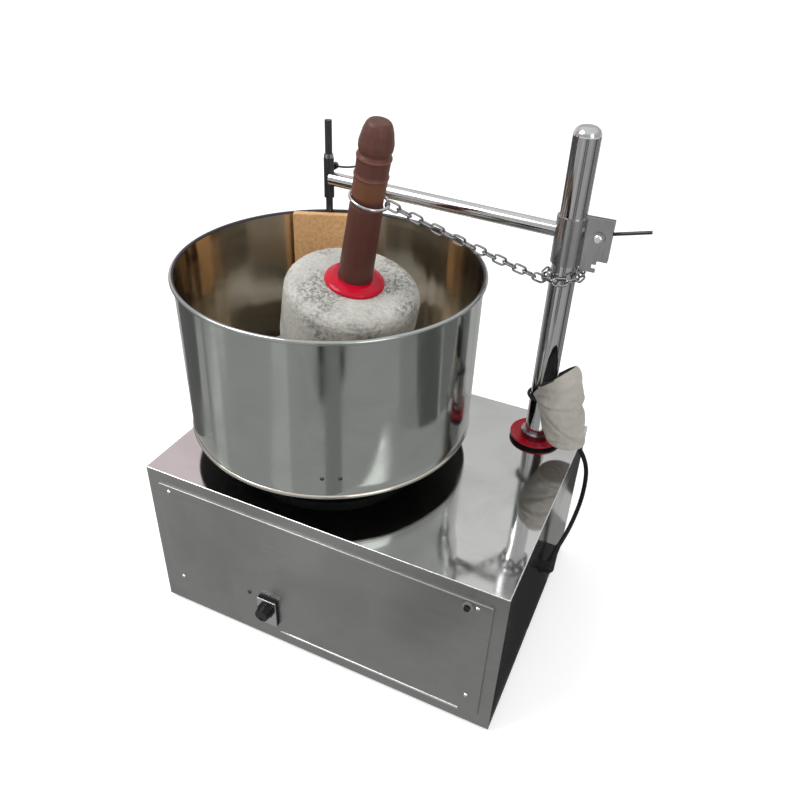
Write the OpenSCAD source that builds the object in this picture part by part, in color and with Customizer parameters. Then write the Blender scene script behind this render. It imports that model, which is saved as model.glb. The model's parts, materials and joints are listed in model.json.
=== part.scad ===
// Wet grinder with a turning drum, a leaning pestle stone and a scraper arm.
// Millimetres, +Z up. The origin is on the floor, below the middle of the outline.

/* [Cabinet] */
// Width of the cabinet along its front
body_w = 464; // [440:1:500]
// Depth of the cabinet
body_d = 338; // [330:1:370]
// Height of the cabinet without its feet
body_h = 224; // [215:1:250]
// Thickness of the cabinet's sheet
sheet = 1.2; // [0.8:0.1:2]
// Depth of the top cover's inner skirt
skirt_h = 10; // [6:1:14]
// Thickness of the bottom tray
tray_t = 1.5; // [1:0.1:3]
// Height of the bottom tray's flange
tray_flange_h = 18; // [12:1:24]
// Height of a rubber foot
foot_h = 6; // [4:0.5:12]
// Radius of a rubber foot
foot_r = 15; // [10:1:20]
// Distance from the cabinet's edges to a foot's centre
foot_inset = 35; // [30:1:60]

/* [Front] */
// Gap between the cabinet's sides and the access panel
panel_side_gap = 15; // [12:1:18]
// Gap between the cabinet's top and the access panel
panel_top_gap = 17; // [16:1:20]
// Gap between the cabinet's bottom and the access panel
panel_bottom_gap = 20; // [14:1:22]
// How far the access panel stands proud
panel_raise = 3; // [2.4:0.1:5]
// Width of the frame's lip behind the access panel's sides
frame_side_lip = 26; // [24:1:30]
// Height of the frame's lip behind the access panel's top and bottom
frame_lip = 6; // [4:0.5:8]
// Distance from the access panel's sides to its screws
screw_in = 17; // [15:0.5:19]
// Distance from the access panel's top to its upper screws
screw_down = 8.5; // [7:0.5:12]
// Distance from the access panel's bottom to its lower screws
screw_up = 31; // [25:1:40]
// Radius of a panel screw's head
screw_head_r = 3; // [2.5:0.25:3.5]
// Radius of a panel screw's shank
screw_r = 2; // [1.5:0.25:2.25]
// Distance from the cabinet's left side to the switch
switch_from_left = 166; // [120:1:200]
// Height of the switch above the cabinet's bottom
switch_up = 62; // [55:1:75]
// Width of the switch plate
plate_w = 27; // [24:1:34]
// Height of the switch plate
plate_h = 42; // [36:1:46]
// Height of the switch plate above the switch's axis
plate_above = 15; // [13:0.5:20]
// Thickness of the switch plate
plate_t = 1.5; // [1:0.25:2.5]
// Thickness of the gasket behind the switch plate
gasket_t = 4; // [2:0.5:6]
// Radius of the switch knob
knob_r = 11; // [8:0.5:13]
// Height of the switch knob
knob_h = 12; // [9:1:18]
// Radius of the switch spindle
spindle_r = 3; // [2.5:0.25:3.5]
// Distance from the cabinet's left side to the lamp
lamp_from_left = 138; // [110:1:140]
// Height of the lamp above the cabinet's bottom
lamp_up = 74; // [60:1:90]
// Radius of the lamp's lens
lamp_r = 3; // [2:0.25:4]
// Distance from the cabinet's right side to the reset button
reset_from_right = 42.5; // [42:0.5:60]
// Distance from the access panel's top to the reset button
reset_down = 8.5; // [8.5:0.5:20]
// Radius of the reset button
reset_r = 3.5; // [2.5:0.25:3.5]
// Travel of the reset button
reset_travel = 2.5; // [1.5:0.25:3.5]

/* [Rear vents and gland] */
// Columns of vent slots in the rear panel
vent_columns = 3; // [1:1:5]
// Rows of vent slots in the rear panel
vent_rows = 6; // [2:1:9]
// Length of a vent slot
vent_w = 50; // [20:1:60]
// Height of a vent slot
vent_h = 5; // [3:0.5:8]
// Distance from the cabinet's front to the cord gland
gland_from_front = 171; // [168:1:180]
// Height of the cord gland above the cabinet's bottom
gland_up = 114; // [105:1:125]

/* [Drum] */
// Distance from the cabinet's left side to the drum's axis
drum_from_left = 164; // [158:1:172]
// Distance from the cabinet's front to the drum's axis
drum_from_front = 172; // [166:1:178]
// Outer radius of the drum's rim
drum_rim_r = 179.5; // [176:0.5:190]
// Outer radius of the drum's wall at its bottom
drum_bottom_r = 174.5; // [171:0.5:176]
// Height of the drum
drum_h = 202; // [190:1:212]
// Thickness of the drum's wall
drum_t = 1.2; // [0.8:0.1:2]
// Radius of the rolled rim
rim_r = 2.6; // [1.8:0.1:3]
// Gap between the top cover and the drum
drum_gap = 33; // [28:1:36]
// Radius of the base stone in the drum
base_stone_r = 125; // [110:1:135]
// Height of the base stone
base_stone_h = 50; // [46:1:56]
// Thickness of the base stone below its bowl
base_stone_floor = 23; // [20:1:28]
// Radius of the bowl in the base stone
bowl_r = 100; // [99:1:110]

/* [Pestle] */
// Radius of the pestle stone
pestle_r = 80; // [76:1:80]
// Height of the pestle stone above its round bottom's centre
pestle_rise = 70; // [60:1:80]
// Radius of the pestle stone's shoulder
pestle_shoulder = 16; // [10:1:22]
// Lean of the pestle from the vertical
pestle_lean = 12.2; // [8:0.1:12.5]
// Direction of the lean, from the right towards the rear
pestle_lean_dir = -25; // [-30:1:0]
// Distance from the drum's axis to the pestle's round bottom
pestle_off = 18; // [10:0.5:18]
// Direction of that distance, from the right towards the rear
pestle_off_dir = 39; // [20:1:60]
// Radius of the red collar
collar_r = 35; // [28:1:40]
// Height of the red collar
collar_h = 8; // [5:0.5:12]
// Radius of the wooden handle at its foot
handle_r = 20; // [18.5:0.5:22]
// Radius of the wooden handle's head
head_r = 18.2; // [17.5:0.1:19]
// Length of the wooden handle
handle_len = 190.5; // [180:0.5:210]
// Radius of the rod in the handle
tie_rod_r = 6; // [4:0.5:8]

/* [Post] */
// Distance from the cabinet's right side to the post's axis
post_from_right = 58; // [50:1:64]
// Distance from the cabinet's rear to the post's axis
post_from_rear = 54; // [46:1:62]
// Radius of the post
post_r = 15; // [14:0.5:17]
// Wall of the post's tube
post_wall = 2; // [1.2:0.1:3]
// Height of the post above the top cover
post_h = 398; // [390:1:430]
// Depth of the post's socket below the top cover
socket_h = 40; // [30:1:60]
// Radius of the red post flange
flange_r = 33.5; // [28:0.5:38]
// Height of the red post flange's rim
flange_rim_h = 6; // [4:0.5:9]
// Height of the lock ring
lock_ring_h = 10; // [6:0.5:14]

/* [Scraper arm] */
// Height of the arm's axis above the top cover
arm_up = 283; // [278:1:300]
// Distance from the post's axis to the scraper rod's axis
arm_len = 321.5; // [310:0.5:325]
// Distance from the drum's inner wall to the scraper rod's axis
rod_in = 16.3; // [15:0.1:22]
// Radius of the arm's tube
arm_r = 8.5; // [7:0.5:10]
// Wall of the arm's tube
arm_wall = 1.5; // [1:0.1:2.5]
// Thickness of the clamp's sheet
clamp_t = 2.5; // [2:0.1:3.5]
// Height of the clamp's sleeve
clamp_h = 54; // [46:1:56]
// Reach of the clamp's ears from the post's axis
ear_reach = 46; // [42:1:52]
// Height of the clamp's ears
ear_h = 48; // [40:1:54]
// Slit between the clamp's ears
ear_slit = 2; // [1:0.25:4]
// Distance from the post's axis to the clamp screw
ear_hole_out = 31.5; // [28:0.5:36]
// Radius of the clamp screw
clamp_screw_r = 5; // [4:0.5:6]
// Length of the clamp screw's bar from the screw's axis
bar_len = 55; // [40:1:60]
// Radius of the clamp screw's bar
bar_r = 2; // [1.5:0.25:3]
// Rise of the bar from the horizontal
bar_rise = 14; // [0:1:25]
// Radius of the arm's end sleeve
sleeve_r = 6.5; // [6:0.25:8]
// Height of the arm's end sleeve
sleeve_h = 50; // [44:1:56]
// Radius of the scraper rod
rod_r = 4.5; // [4:0.25:5]
// Height of the scraper rod's top above the arm's axis
rod_top = 72; // [50:1:80]
// Width of the scraper board to the left of its rod
board_left = 46; // [40:1:50]
// Width of the scraper board to the right of its rod
board_right = 45; // [35:1:55]
// Height of the scraper board
board_h = 145; // [120:1:150]
// Thickness of the scraper board
board_t = 10; // [6:0.5:14]
// Turn of the board out of the line of the drum's wall
board_turn = 6.5; // [2:0.5:12]
// Height of the board's top edge above the drum's rim
board_over_rim = 5; // [1:0.5:7]

/* [Chain] */
// Number of links between the handle's ring and the post
chain_count = 15; // [13:2:17]
// Diameter of a link's wire
wire_d = 2.6; // [2:0.1:3]
// Inner width of a link
link_w = 6; // [5:0.25:7]
// Drop of the chain's middle below a straight line
chain_sag = 2; // [0:0.5:4]
// Height of the chain's loop round the post above the top cover
chain_up = 232; // [225:1:233]
// Tilt of that loop, lower towards the pestle
loop_tilt = 10; // [0:1:12]
// Inner radius of the ring round the handle
ring_inner_r = 19.5; // [19:0.25:22]
// Diameter of the ring's wire
ring_d = 3.6; // [3:0.1:4]
// Tilt of the ring against the handle
ring_tilt = 6; // [0:1:8]

/* [Drive] */
// Radius of the main shaft
shaft_r = 12.5; // [10:0.5:14]
// Distance between the main shaft and the motor's shaft
belt_centres = 190; // [185:1:200]
// Radius of the drum pulley at its groove's floor
drum_pulley_r = 120; // [100:1:122]
// Radius of the motor pulley at its groove's floor
motor_pulley_r = 15; // [13:0.5:20]
// Height of the belt's middle above the cabinet's bottom
belt_up = 134; // [132:1:150]
// Height of the belt
belt_h = 10; // [8:0.5:12]
// Thickness of the belt
belt_t = 8; // [6:0.5:10]
// Radius of the motor
motor_r = 58; // [50:1:62]
// Height of the motor's housing
motor_h = 100; // [90:1:105]
// Radius of the motor's shaft
motor_shaft_r = 7; // [6:0.5:8]
// Radius of the capacitor
capacitor_r = 20; // [15:1:25]
// Height of the capacitor
capacitor_h = 75; // [60:1:90]

/* [Cord and pouch] */
// Diameter of the mains cord
cord_d = 5.6; // [5:0.1:7]
// Radius of the cloth pouch
pouch_r = 28.5; // [26:0.5:31]
// Height of the cloth pouch
pouch_h = 106; // [98:1:112]
// Height of the pouch's bottom above the top cover
pouch_up = 26; // [26:1:28]

/* [Hidden] */
$fn = 96;
// Running clearance of a shaft in its bearing
run_gap = 0.05;
// Clearance between curved faces that pass each other
pass_gap = 0.3;
// Clearance round a screw or a tube that passes through a sheet
hole_gap = 0.2;

// Heights
under_z = foot_h + body_h - sheet;
deck_z = foot_h + body_h;
floor_z = foot_h + tray_t;
drum_z = deck_z + drum_gap;
rim_z = drum_z + drum_h;
arm_z = deck_z + arm_up;
post_top_z = deck_z + post_h;

// Outer and inner faces of the cabinet's walls, from the cabinet's centre
wall_x = body_w / 2;
wall_y = body_d / 2;
inner_x = wall_x - sheet;
inner_y = wall_y - sheet;

// Places on the cabinet, from its centre
drum_dx = drum_from_left - body_w / 2;
drum_dy = drum_from_front - body_d / 2;
post_dx = body_w / 2 - post_from_right;
post_dy = body_d / 2 - post_from_rear;

// Outline of the whole object, from the cabinet's centre, and the centre that it gives
knob_gap = 0.4;
left_reach = drum_dx - drum_rim_r;
right_reach = post_dx + ear_hole_out + bar_len * cos(bar_rise) + bar_r * sin(bar_rise);
front_reach = -(wall_y + panel_raise + gasket_t + plate_t + knob_gap + knob_h);
rear_reach = drum_dy + drum_rim_r;
base_x = -(left_reach + right_reach) / 2;
base_y = -(front_reach + rear_reach) / 2;
drum_x = base_x + drum_dx;
drum_y = base_y + drum_dy;
post_x = base_x + post_dx;
post_y = base_y + post_dy;
motor_x = drum_x + belt_centres;
motor_y = drum_y;

// Access panel and what it carries
panel_w = body_w - 2 * panel_side_gap;
panel_h = body_h - panel_top_gap - panel_bottom_gap;
panel_z = foot_h + panel_bottom_gap;
panel_front = base_y - wall_y - panel_raise;
panel_back = panel_front + sheet;
switch_x = base_x - body_w / 2 + switch_from_left;
switch_z = foot_h + switch_up;
lamp_x = base_x - body_w / 2 + lamp_from_left;
lamp_z = foot_h + lamp_up;
reset_x = base_x + body_w / 2 - reset_from_right;
reset_z = panel_z + panel_h - reset_down;
switch_neck_r = spindle_r + 2;
switch_box = 28;
switch_depth = 24;
spindle_in = 12;
knob_back = panel_front - gasket_t - plate_t - knob_gap;
knob_skirt_h = 3.6;
knob_low_r = knob_r - 0.9;
knob_top_r = knob_r - 2.2;
knob_mark_r = 1.8;
knob_mark_depth = 0.8;
knob_mark_down = knob_top_r - knob_mark_r - 2;
lamp_in = 10;
lamp_dome_h = 1.5;
lamp_top_r = lamp_r - 1.2;
breaker_r = reset_r + 3;
breaker_len = 26;
breaker_neck_r = reset_r + 1.5;
bezel_r = reset_r + 2.5;
bezel_h = 2.5;
reset_proud = 4;
reset_in = 8;
reset_edge = 0.9;
screw_x = panel_w / 2 - screw_in;
screw_low_z = panel_z + screw_up;
screw_high_z = panel_z + panel_h - screw_down;
screw_end = base_y - inner_y + 6;
screw_head_h = 1.6;
screw_top_r = screw_head_r - 0.9;

// Vent slots in the rear panel and gland on the right side
vent_land_x = 12;
vent_land_z = 7;
vent_step_x = vent_w + vent_land_x;
vent_step_z = vent_h + vent_land_z;
vent_up = 110;
vent_z = foot_h + vent_up;
side_face = base_x + wall_x;
gland_y = base_y - body_d / 2 + gland_from_front;
gland_z = foot_h + gland_up;
gland_r = 6.5;
gland_flange_r = 9;
gland_flange_t = 3;
gland_in = 8;
gland_out = 9;
gland_len = 28;

// Drum and carrier
drum_corner = 8;
drum_top_r = drum_rim_r - 2 * rim_r + drum_t;
rim_from = -acos((drum_t - rim_r) / rim_r);
drum_bead_r = 3;
drum_bead_proud = 1.2;
drum_bead_top = 2 * drum_bead_r + 0.5;
drum_rim_foot = drum_h - 2 * rim_r - 0.5;
drum_wall_lean = atan((drum_top_r - drum_bottom_r) / drum_h);
carrier_r = 120;
carrier_t = 12;
hub_r = 30;
hub_below = 20;
seal_w = 5;
seal_flange = 8;
seal_flange_t = 3;
rivet_r = 2.5;
rivet_h = 1.2;
rivet_top_r = rivet_r - 1;
rivet_z = 30;
rivet_apart = 6.4;
rivet_turn = -61.5;
rivet_gap = 0.1;
stone_z = drum_z + drum_t;
bowl_z = stone_z + base_stone_floor;

// Pestle: its round bottom rests in the bowl, a pass gap clear of it
pestle_drop = sqrt(pow(bowl_r - pestle_r - pass_gap, 2) - pow(pestle_off, 2));
pestle_at = [
    drum_x + pestle_off * cos(pestle_off_dir),
    drum_y + pestle_off * sin(pestle_off_dir),
    bowl_z + bowl_r - pestle_drop
];
pestle_axis = [
    sin(pestle_lean) * cos(pestle_lean_dir),
    sin(pestle_lean) * sin(pestle_lean_dir),
    cos(pestle_lean)
];
tie_rod_low = 30;
tie_rod_short = 12;
neck_depth = 1;
neck_r = head_r - neck_depth;
neck_down = 85;
neck_at = handle_len - neck_down;
// Turned marks on the head: height above the neck, and radius beyond the head's
head_marks = [
    [-6.5, 0], [-4.5, -neck_depth], [4.5, -neck_depth], [6.5, 0],
    [25, -0.3], [27, 0.6], [28.5, 0.6], [30.5, -0.6],
    [45, -0.3], [47, 0.6], [49, 0.6], [52, -1.8], [57, 0], [63, 0.2]
];
// Rounded end of the head: depth below its top, and radius beyond the head's
head_end = [[18, -0.6], [9, -2.4], [2.5, -5], [0, -7.5]];
collar_edge_h = 2.4;
collar_slope_h = 4.8;
collar_slope = 2;
collar_top_w = 5;

// Post fittings
socket_wall = 4;
socket_flange_r = 36;
socket_flange_t = 5;
flange_floor_h = 3.5;
flange_foot_in = 4;
flange_edge_h = 2.4;
flange_rim_w = 2.5;
lock_ring_r = post_r + 4.5;
lock_ring_edge = 2;
cap_plug_h = 15;
cap_h = 10;

// Scraper arm
clamp_r = post_r + clamp_t;
clamp_top_up = 19;
clamp_low = arm_z + clamp_top_up - clamp_h;
ear_top_up = 22;
ear_low = arm_z + ear_top_up - ear_h;
ear_y = ear_slit / 2;
nut_r = clamp_screw_r + 2.5;
nut_t = 2.5;
screw_head_len = 12;
clamp_head_r = clamp_screw_r + 2;
clamp_dome_h = 2.2;
tab_in = clamp_r - 1;
tab_w = 18;
tab_h = 14;
notch = 5;
board_top = rim_z + board_over_rim;
board_low = board_top - board_h;

// The arm swings until its rod hangs a set distance inside the drum's wall
rod_ring = min(wall_r(board_low - drum_z), wall_r(drum_h)) - drum_t - rod_in;
post_to_drum = norm([drum_x - post_x, drum_y - post_y]);
arm_swing = acos(
    (pow(post_to_drum, 2) + pow(arm_len, 2) - pow(rod_ring, 2)) / (2 * post_to_drum * arm_len));
arm_dir = arm_swing + atan2(drum_y - post_y, post_x - drum_x);
sleeve_at = [post_x - arm_len * cos(arm_dir), post_y + arm_len * sin(arm_dir)];
rod_turn = atan2(sleeve_at[1] - drum_y, sleeve_at[0] - drum_x);
board_dir = rod_turn - 90 - board_turn;
sleeve_top_up = 26;
sleeve_top = arm_z + sleeve_top_up;
sleeve_low = sleeve_top - sleeve_h;
lock_screw_r = 2.5;
lock_head_r = 4.5;
lock_head_len = 6;
lock_out = 18;
lock_tip_gap = 0.5;
lock_z = arm_z + arm_r + lock_screw_r + 1;
lever_r = 1.3;
lever_len = 48;
lever_drop = 2;
lever_bend = 30;
lever_bend_r = lever_len * 180 / (PI * lever_bend);
rod_collar_h = 5;
rod_collar_r = rod_r + 1.5;
board_gap = 6;
clip_h = 12;
clip_r = rod_r + 3;
rod_foot_r = clip_r - 1.5;
clip_ear_w = 30;
clip_ear_t = 3;
clip_drops = [22, 92];
rod_end = board_top - clip_drops[1] - clip_h;
rod_foot_h = 4;

// Ring round the handle, pulled against it on the side away from the post
chain_dir = unit([post_x - pestle_at[0], post_y - pestle_at[1], 0]);
chain_turn = atan2(chain_dir[1], chain_dir[0]);
ring_r = ring_inner_r + ring_d / 2;
ring_side = unit(chain_dir - (chain_dir * pestle_axis) * pestle_axis);
ring_out = cos(ring_tilt) * ring_side - sin(ring_tilt) * pestle_axis;
ring_normal = cos(ring_tilt) * pestle_axis + sin(ring_tilt) * ring_side;
ring_shift = ring_inner_r - neck_r - pass_gap;
ring_at = pestle_at + (pestle_rise + neck_at) * pestle_axis + ring_shift * ring_out;

// Chain: a tilted closed loop round the post and a straight run that hooks the ring
link_gap = 0.3;
link_mid_r = (link_w + wire_d) / 2;
link_roll = 45;
loop_count = 10;
loop_slack = 1;
loop_gap = 1.2;
loop_apothem = post_r + loop_gap + link_mid_r * cos(link_roll) + wire_d / 2;
loop_pitch = 2 * loop_apothem * tan(180 / loop_count);
loop_at = [post_x, post_y, deck_z + chain_up];
loop_in = -cos(loop_tilt) * chain_dir - [0, 0, sin(loop_tilt)];
loop_normal = [0, 0, cos(loop_tilt)] - sin(loop_tilt) * chain_dir;
hook_ring = ring_at + ring_r * ring_out;
hook_loop = loop_at + (loop_apothem + link_mid_r * cos(link_roll)) * loop_in
    - link_mid_r * sin(link_roll) * loop_normal;
run_dir = unit(hook_loop - hook_ring);
run_turn = atan2(run_dir[1], run_dir[0]);
chain_from = hook_ring - (ring_d / 2 + link_gap / 2) * run_dir;
chain_to = hook_loop + (wire_d / 2 + link_gap / 2) * run_dir;
chain_pitch = norm(chain_to - chain_from) / chain_count;

// Drive
belt_z = foot_h + belt_up;
belt_gap = 0.4;
groove_depth = belt_t + 3;
groove_side_gap = 0.5;
pulley_flange = 3;
pulley_h = belt_h + 2 * groove_side_gap + 2 * pulley_flange;
pulley_hub_r = 28;
pulley_web_t = 8;
pulley_rim_t = 14;
housing_flange_r = 60;
housing_flange_t = 8;
housing_r = 36;
bearing_wall = 13.5;
bearing_r = shaft_r + bearing_wall;
bearing_h = 15;
bearing_seat = 4;
bearing_up = 18;
housing_top = belt_z - pulley_h / 2 - pass_gap;
bearing_low_z = floor_z + bearing_up;
bearing_high_z = housing_top - bearing_h;
shaft_up = 10;
shaft_low_z = floor_z + shaft_up;
motor_plate_w = 130;
motor_plate_t = 6;
motor_wall = 4;
motor_z = floor_z + motor_plate_t;
motor_cover_t = 8;
stator_r = motor_r - motor_wall;
rotor_r = 30;
rotor_gap = 0.6;
bolt_r = 4;
bolt_head_r = 7;
bolt_head_h = 5;
housing_bolt_at = 48;
motor_bolt_at = 56;
capacitor_right = 30;
capacitor_in = 48;
capacitor_at = [base_x + capacitor_right, base_y - inner_y + capacitor_in];

// Pouch on the post, from the post's axis, and the shifts of its middle and top
pouch_right = 43;
pouch_front = 25;
pouch_at = [post_x + pouch_right, post_y - pouch_front];
pouch_z = deck_z + pouch_up;
pouch_round = 4;
pouch_mid_left = 16.5;
pouch_mid_up = 54;
pouch_top_left = 20.5;
pouch_top_back = 2;
pouch_mouth_r = pouch_r - 5;
pouch_low_r = pouch_r - 3;
// Lean of the pouch's mouth, and the direction that it faces
pouch_tilt = 45;
pouch_tilt_dir = 163;
pouch_mouth_up = pouch_h - pouch_mouth_r * sin(pouch_tilt);
pouch_disc_t = 1;
tie_r = 2;
tie_up = 40;
tie_z = pouch_z + tie_up;

// Cord from the gland to the pouch; its own points are from the cabinet's centre and bottom
cord_start = [side_face + gland_out, gland_y + gland_len, gland_z];
cord_points = [
    [243, 55, 113],
    [248, 80, 126],
    [252, 95, 160],
    [251, 93, 205],
    [243, 86, 236]
];
cord_straight = 12;
cord_end_right = 14;
cord_end_front = 8;
cord_end_up = 4;
cord_end = [pouch_at[0] + cord_end_right, pouch_at[1] - cord_end_front, pouch_z + cord_end_up];

// Inner wires: past the right wall and the front wall to the switch, then on to the motor
wire_r = 2.5;
wire_end_gap = 2;
wire_straight = 14;
wire_side_in = 26;
wire_front_in = 17;
wire_cross_in = 83;
wire_bend = 30;
wire_low = 30;
wire_high = 60;
wire_slack = 40;
wire_side_x = base_x + inner_x - wire_side_in;
wire_front_y = base_y - inner_y + wire_front_in;
wire_low_z = foot_h + wire_low;
wire_high_z = foot_h + wire_high;
switch_in_y = panel_back + switch_depth;
motor_left = motor_x - motor_r;

// Helpers: vectors and swept tubes
function unit(v) = v / norm(v);
function tangent_at(p, i) = unit(p[min(i + 1, len(p) - 1)] - p[max(i - 1, 0)]);
function carry(n, t) = unit(n - (n * t) * t);
function normals(p, n, i = 0, out = []) =
    i == len(p) ? out
    : let (m = carry(n, tangent_at(p, i))) normals(p, m, i + 1, concat(out, [m]));
function curve_point(a, b, c, d, t) =
    0.5 * (2 * b + (c - a) * t + (2 * a - 5 * b + 4 * c - d) * t * t
    + (3 * b - a - 3 * c + d) * t * t * t);
function smooth_path(p, steps) = concat(
    [for (i = [0 : len(p) - 2], s = [0 : steps - 1])
        curve_point(p[max(i - 1, 0)], p[i], p[i + 1], p[min(i + 2, len(p) - 1)], s / steps)],
    [p[len(p) - 1]]
);

module swept_tube(p, r, sides, first_normal) {
    ns = normals(p, first_normal);
    points = [
        for (i = [0 : len(p) - 1], j = [0 : sides - 1])
            p[i] + r * (ns[i] * cos(360 * j / sides)
                + cross(tangent_at(p, i), ns[i]) * sin(360 * j / sides))
    ];
    last = (len(p) - 1) * sides;
    faces = concat(
        [for (i = [0 : len(p) - 2], j = [0 : sides - 1])
            [i * sides + j, (i + 1) * sides + j, (i + 1) * sides + (j + 1) % sides]],
        [for (i = [0 : len(p) - 2], j = [0 : sides - 1])
            [i * sides + j, (i + 1) * sides + (j + 1) % sides, i * sides + (j + 1) % sides]],
        [for (j = [1 : sides - 2]) [0, j, j + 1]],
        [for (j = [1 : sides - 2]) [last, last + j + 1, last + j]]
    );
    polyhedron(points, faces);
}

// Helpers: placing
module at_base(p) translate([base_x + p[0], base_y + p[1], p[2]]) children();
module on_pestle() translate(pestle_at) rotate([0, pestle_lean, pestle_lean_dir]) children();
module facing_front(x, y, z) translate([x, y, z]) rotate([90, 0, 0]) children();
module facing_rear(x, y, z) translate([x, y, z]) rotate([-90, 0, 0]) children();
module on_board(z) translate([sleeve_at[0], sleeve_at[1], z]) rotate([0, 0, board_dir]) children();

// Cabinet
module bottom_tray() color("darkgray") at_base([0, 0, foot_h]) difference() {
    translate([-inner_x, -inner_y, 0]) cube([2 * inner_x, 2 * inner_y, tray_flange_h]);
    translate([tray_t - inner_x, tray_t - inner_y, tray_t])
        cube([2 * (inner_x - tray_t), 2 * (inner_y - tray_t), tray_flange_h]);
}

module rubber_feet() color("black")
    for (x = [-1, 1], y = [-1, 1])
        at_base([x * (body_w / 2 - foot_inset), y * (body_d / 2 - foot_inset), 0])
            cylinder(r = foot_r, h = foot_h);

module left_side() color("silver") at_base([-wall_x, -inner_y, foot_h])
    cube([sheet, 2 * inner_y, under_z - foot_h]);

module right_side() color("silver") difference() {
    at_base([inner_x, -inner_y, foot_h]) cube([sheet, 2 * inner_y, under_z - foot_h]);
    translate([side_face - 2 * sheet, gland_y, gland_z]) rotate([0, 90, 0])
        cylinder(r = gland_r + hole_gap, h = 3 * sheet);
}

module rear_panel() color("silver") difference() {
    at_base([-wall_x, inner_y, foot_h]) cube([2 * wall_x, sheet, under_z - foot_h]);
    for (i = [0 : vent_columns - 1], k = [0 : vent_rows - 1])
        at_base([
            (i - vent_columns / 2) * vent_step_x + vent_land_x / 2,
            inner_y - sheet,
            vent_z + k * vent_step_z
        ]) cube([vent_w, 3 * sheet, vent_h]);
}

module front_frame() color("silver") difference() {
    at_base([-wall_x, -wall_y, foot_h]) cube([2 * wall_x, sheet, under_z - foot_h]);
    at_base([frame_side_lip - panel_w / 2, -wall_y - sheet, panel_z + frame_lip])
        cube([panel_w - 2 * frame_side_lip, 3 * sheet, panel_h - 2 * frame_lip]);
    for (x = [-screw_x, screw_x], z = [screw_low_z, screw_high_z])
        facing_front(base_x + x, base_y - wall_y + 2 * sheet, z)
            cylinder(r = screw_r + hole_gap, h = 3 * sheet);
    facing_front(reset_x, base_y - wall_y + 2 * sheet, reset_z)
        cylinder(r = breaker_r + 2 * hole_gap, h = 3 * sheet);
}

module access_panel() color("gainsboro") difference() {
    translate([base_x - panel_w / 2, panel_front, panel_z]) cube([panel_w, panel_raise, panel_h]);
    translate([base_x - panel_w / 2 + sheet, panel_back, panel_z + sheet])
        cube([panel_w - 2 * sheet, panel_raise, panel_h - 2 * sheet]);
    for (x = [-screw_x, screw_x], z = [screw_low_z, screw_high_z])
        facing_front(base_x + x, panel_back + sheet, z)
            cylinder(r = screw_r + hole_gap, h = 3 * sheet);
    facing_front(switch_x, panel_back + sheet, switch_z)
        cylinder(r = switch_neck_r + hole_gap, h = 3 * sheet);
    facing_front(lamp_x, panel_back + sheet, lamp_z) cylinder(r = lamp_r, h = 3 * sheet);
    facing_front(reset_x, panel_back + sheet, reset_z)
        cylinder(r = breaker_neck_r + hole_gap, h = 3 * sheet);
}

module panel_screws() color("white")
    for (x = [-screw_x, screw_x], z = [screw_low_z, screw_high_z]) {
        facing_front(base_x + x, screw_end, z) cylinder(r = screw_r, h = screw_end - panel_front);
        facing_front(base_x + x, panel_front, z)
            cylinder(r1 = screw_head_r, r2 = screw_top_r, h = screw_head_h);
    }

module top_cover() color("gainsboro") difference() {
    union() {
        at_base([-wall_x, -wall_y, under_z]) cube([body_w, body_d, sheet]);
        at_base([-inner_x, -inner_y, under_z - skirt_h]) cube([2 * inner_x, 2 * inner_y, skirt_h]);
    }
    at_base([sheet - inner_x, sheet - inner_y, under_z - skirt_h - 1])
        cube([2 * (inner_x - sheet), 2 * (inner_y - sheet), skirt_h + 1]);
    translate([drum_x, drum_y, under_z - 1]) cylinder(r = hub_r + seal_w, h = sheet + 2);
    translate([post_x, post_y, under_z - 1]) cylinder(r = post_r + hole_gap, h = sheet + 2);
}

// Gland on the right side
module cord_gland() color("black") {
    translate([side_face, gland_y, gland_z]) rotate([0, 90, 0])
        cylinder(r = gland_flange_r, h = gland_flange_t);
    translate([side_face - gland_in, gland_y, gland_z]) rotate([0, 90, 0])
        cylinder(r = gland_r, h = gland_in + gland_out);
    translate([side_face + gland_out, gland_y, gland_z]) sphere(r = gland_r);
    translate([side_face + gland_out, gland_y, gland_z]) rotate([-90, 0, 0])
        cylinder(r1 = gland_r, r2 = cord_d / 2 + 1, h = gland_len);
}

// Controls on the front
module switch_gasket() color("black") difference() {
    translate([switch_x - plate_w / 2, panel_front - gasket_t, switch_z + plate_above - plate_h])
        cube([plate_w, gasket_t, plate_h]);
    facing_front(switch_x, panel_front + 1, switch_z)
        cylinder(r = switch_neck_r + hole_gap, h = gasket_t + 2);
}

module switch_plate() color("silver") difference() {
    translate([switch_x - plate_w / 2, panel_front - gasket_t - plate_t, switch_z + plate_above - plate_h])
        cube([plate_w, plate_t, plate_h]);
    facing_front(switch_x, panel_front - gasket_t + 1, switch_z)
        cylinder(r = spindle_r + hole_gap, h = plate_t + 2);
}

module switch_body() color("dimgray") difference() {
    union() {
        translate([switch_x - switch_box / 2, panel_back, switch_z - switch_box / 2])
            cube([switch_box, switch_depth, switch_box]);
        facing_front(switch_x, panel_back, switch_z) cylinder(r = switch_neck_r, h = sheet + gasket_t);
    }
    facing_front(switch_x, panel_back + spindle_in + 1, switch_z)
        cylinder(r = spindle_r + run_gap, h = spindle_in + sheet + gasket_t + 2);
}

module switch_knob() color("black") difference() {
    union() {
        facing_front(switch_x, panel_back + spindle_in, switch_z)
            cylinder(r = spindle_r, h = panel_back + spindle_in - knob_back);
        facing_front(switch_x, knob_back, switch_z) cylinder(r = knob_r, h = knob_skirt_h);
        facing_front(switch_x, knob_back - knob_skirt_h, switch_z)
            cylinder(r1 = knob_low_r, r2 = knob_top_r, h = knob_h - knob_skirt_h);
    }
    facing_front(switch_x, knob_back - knob_h + knob_mark_depth, switch_z - knob_mark_down)
        cylinder(r = knob_mark_r, h = knob_mark_depth + 1);
}

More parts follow.
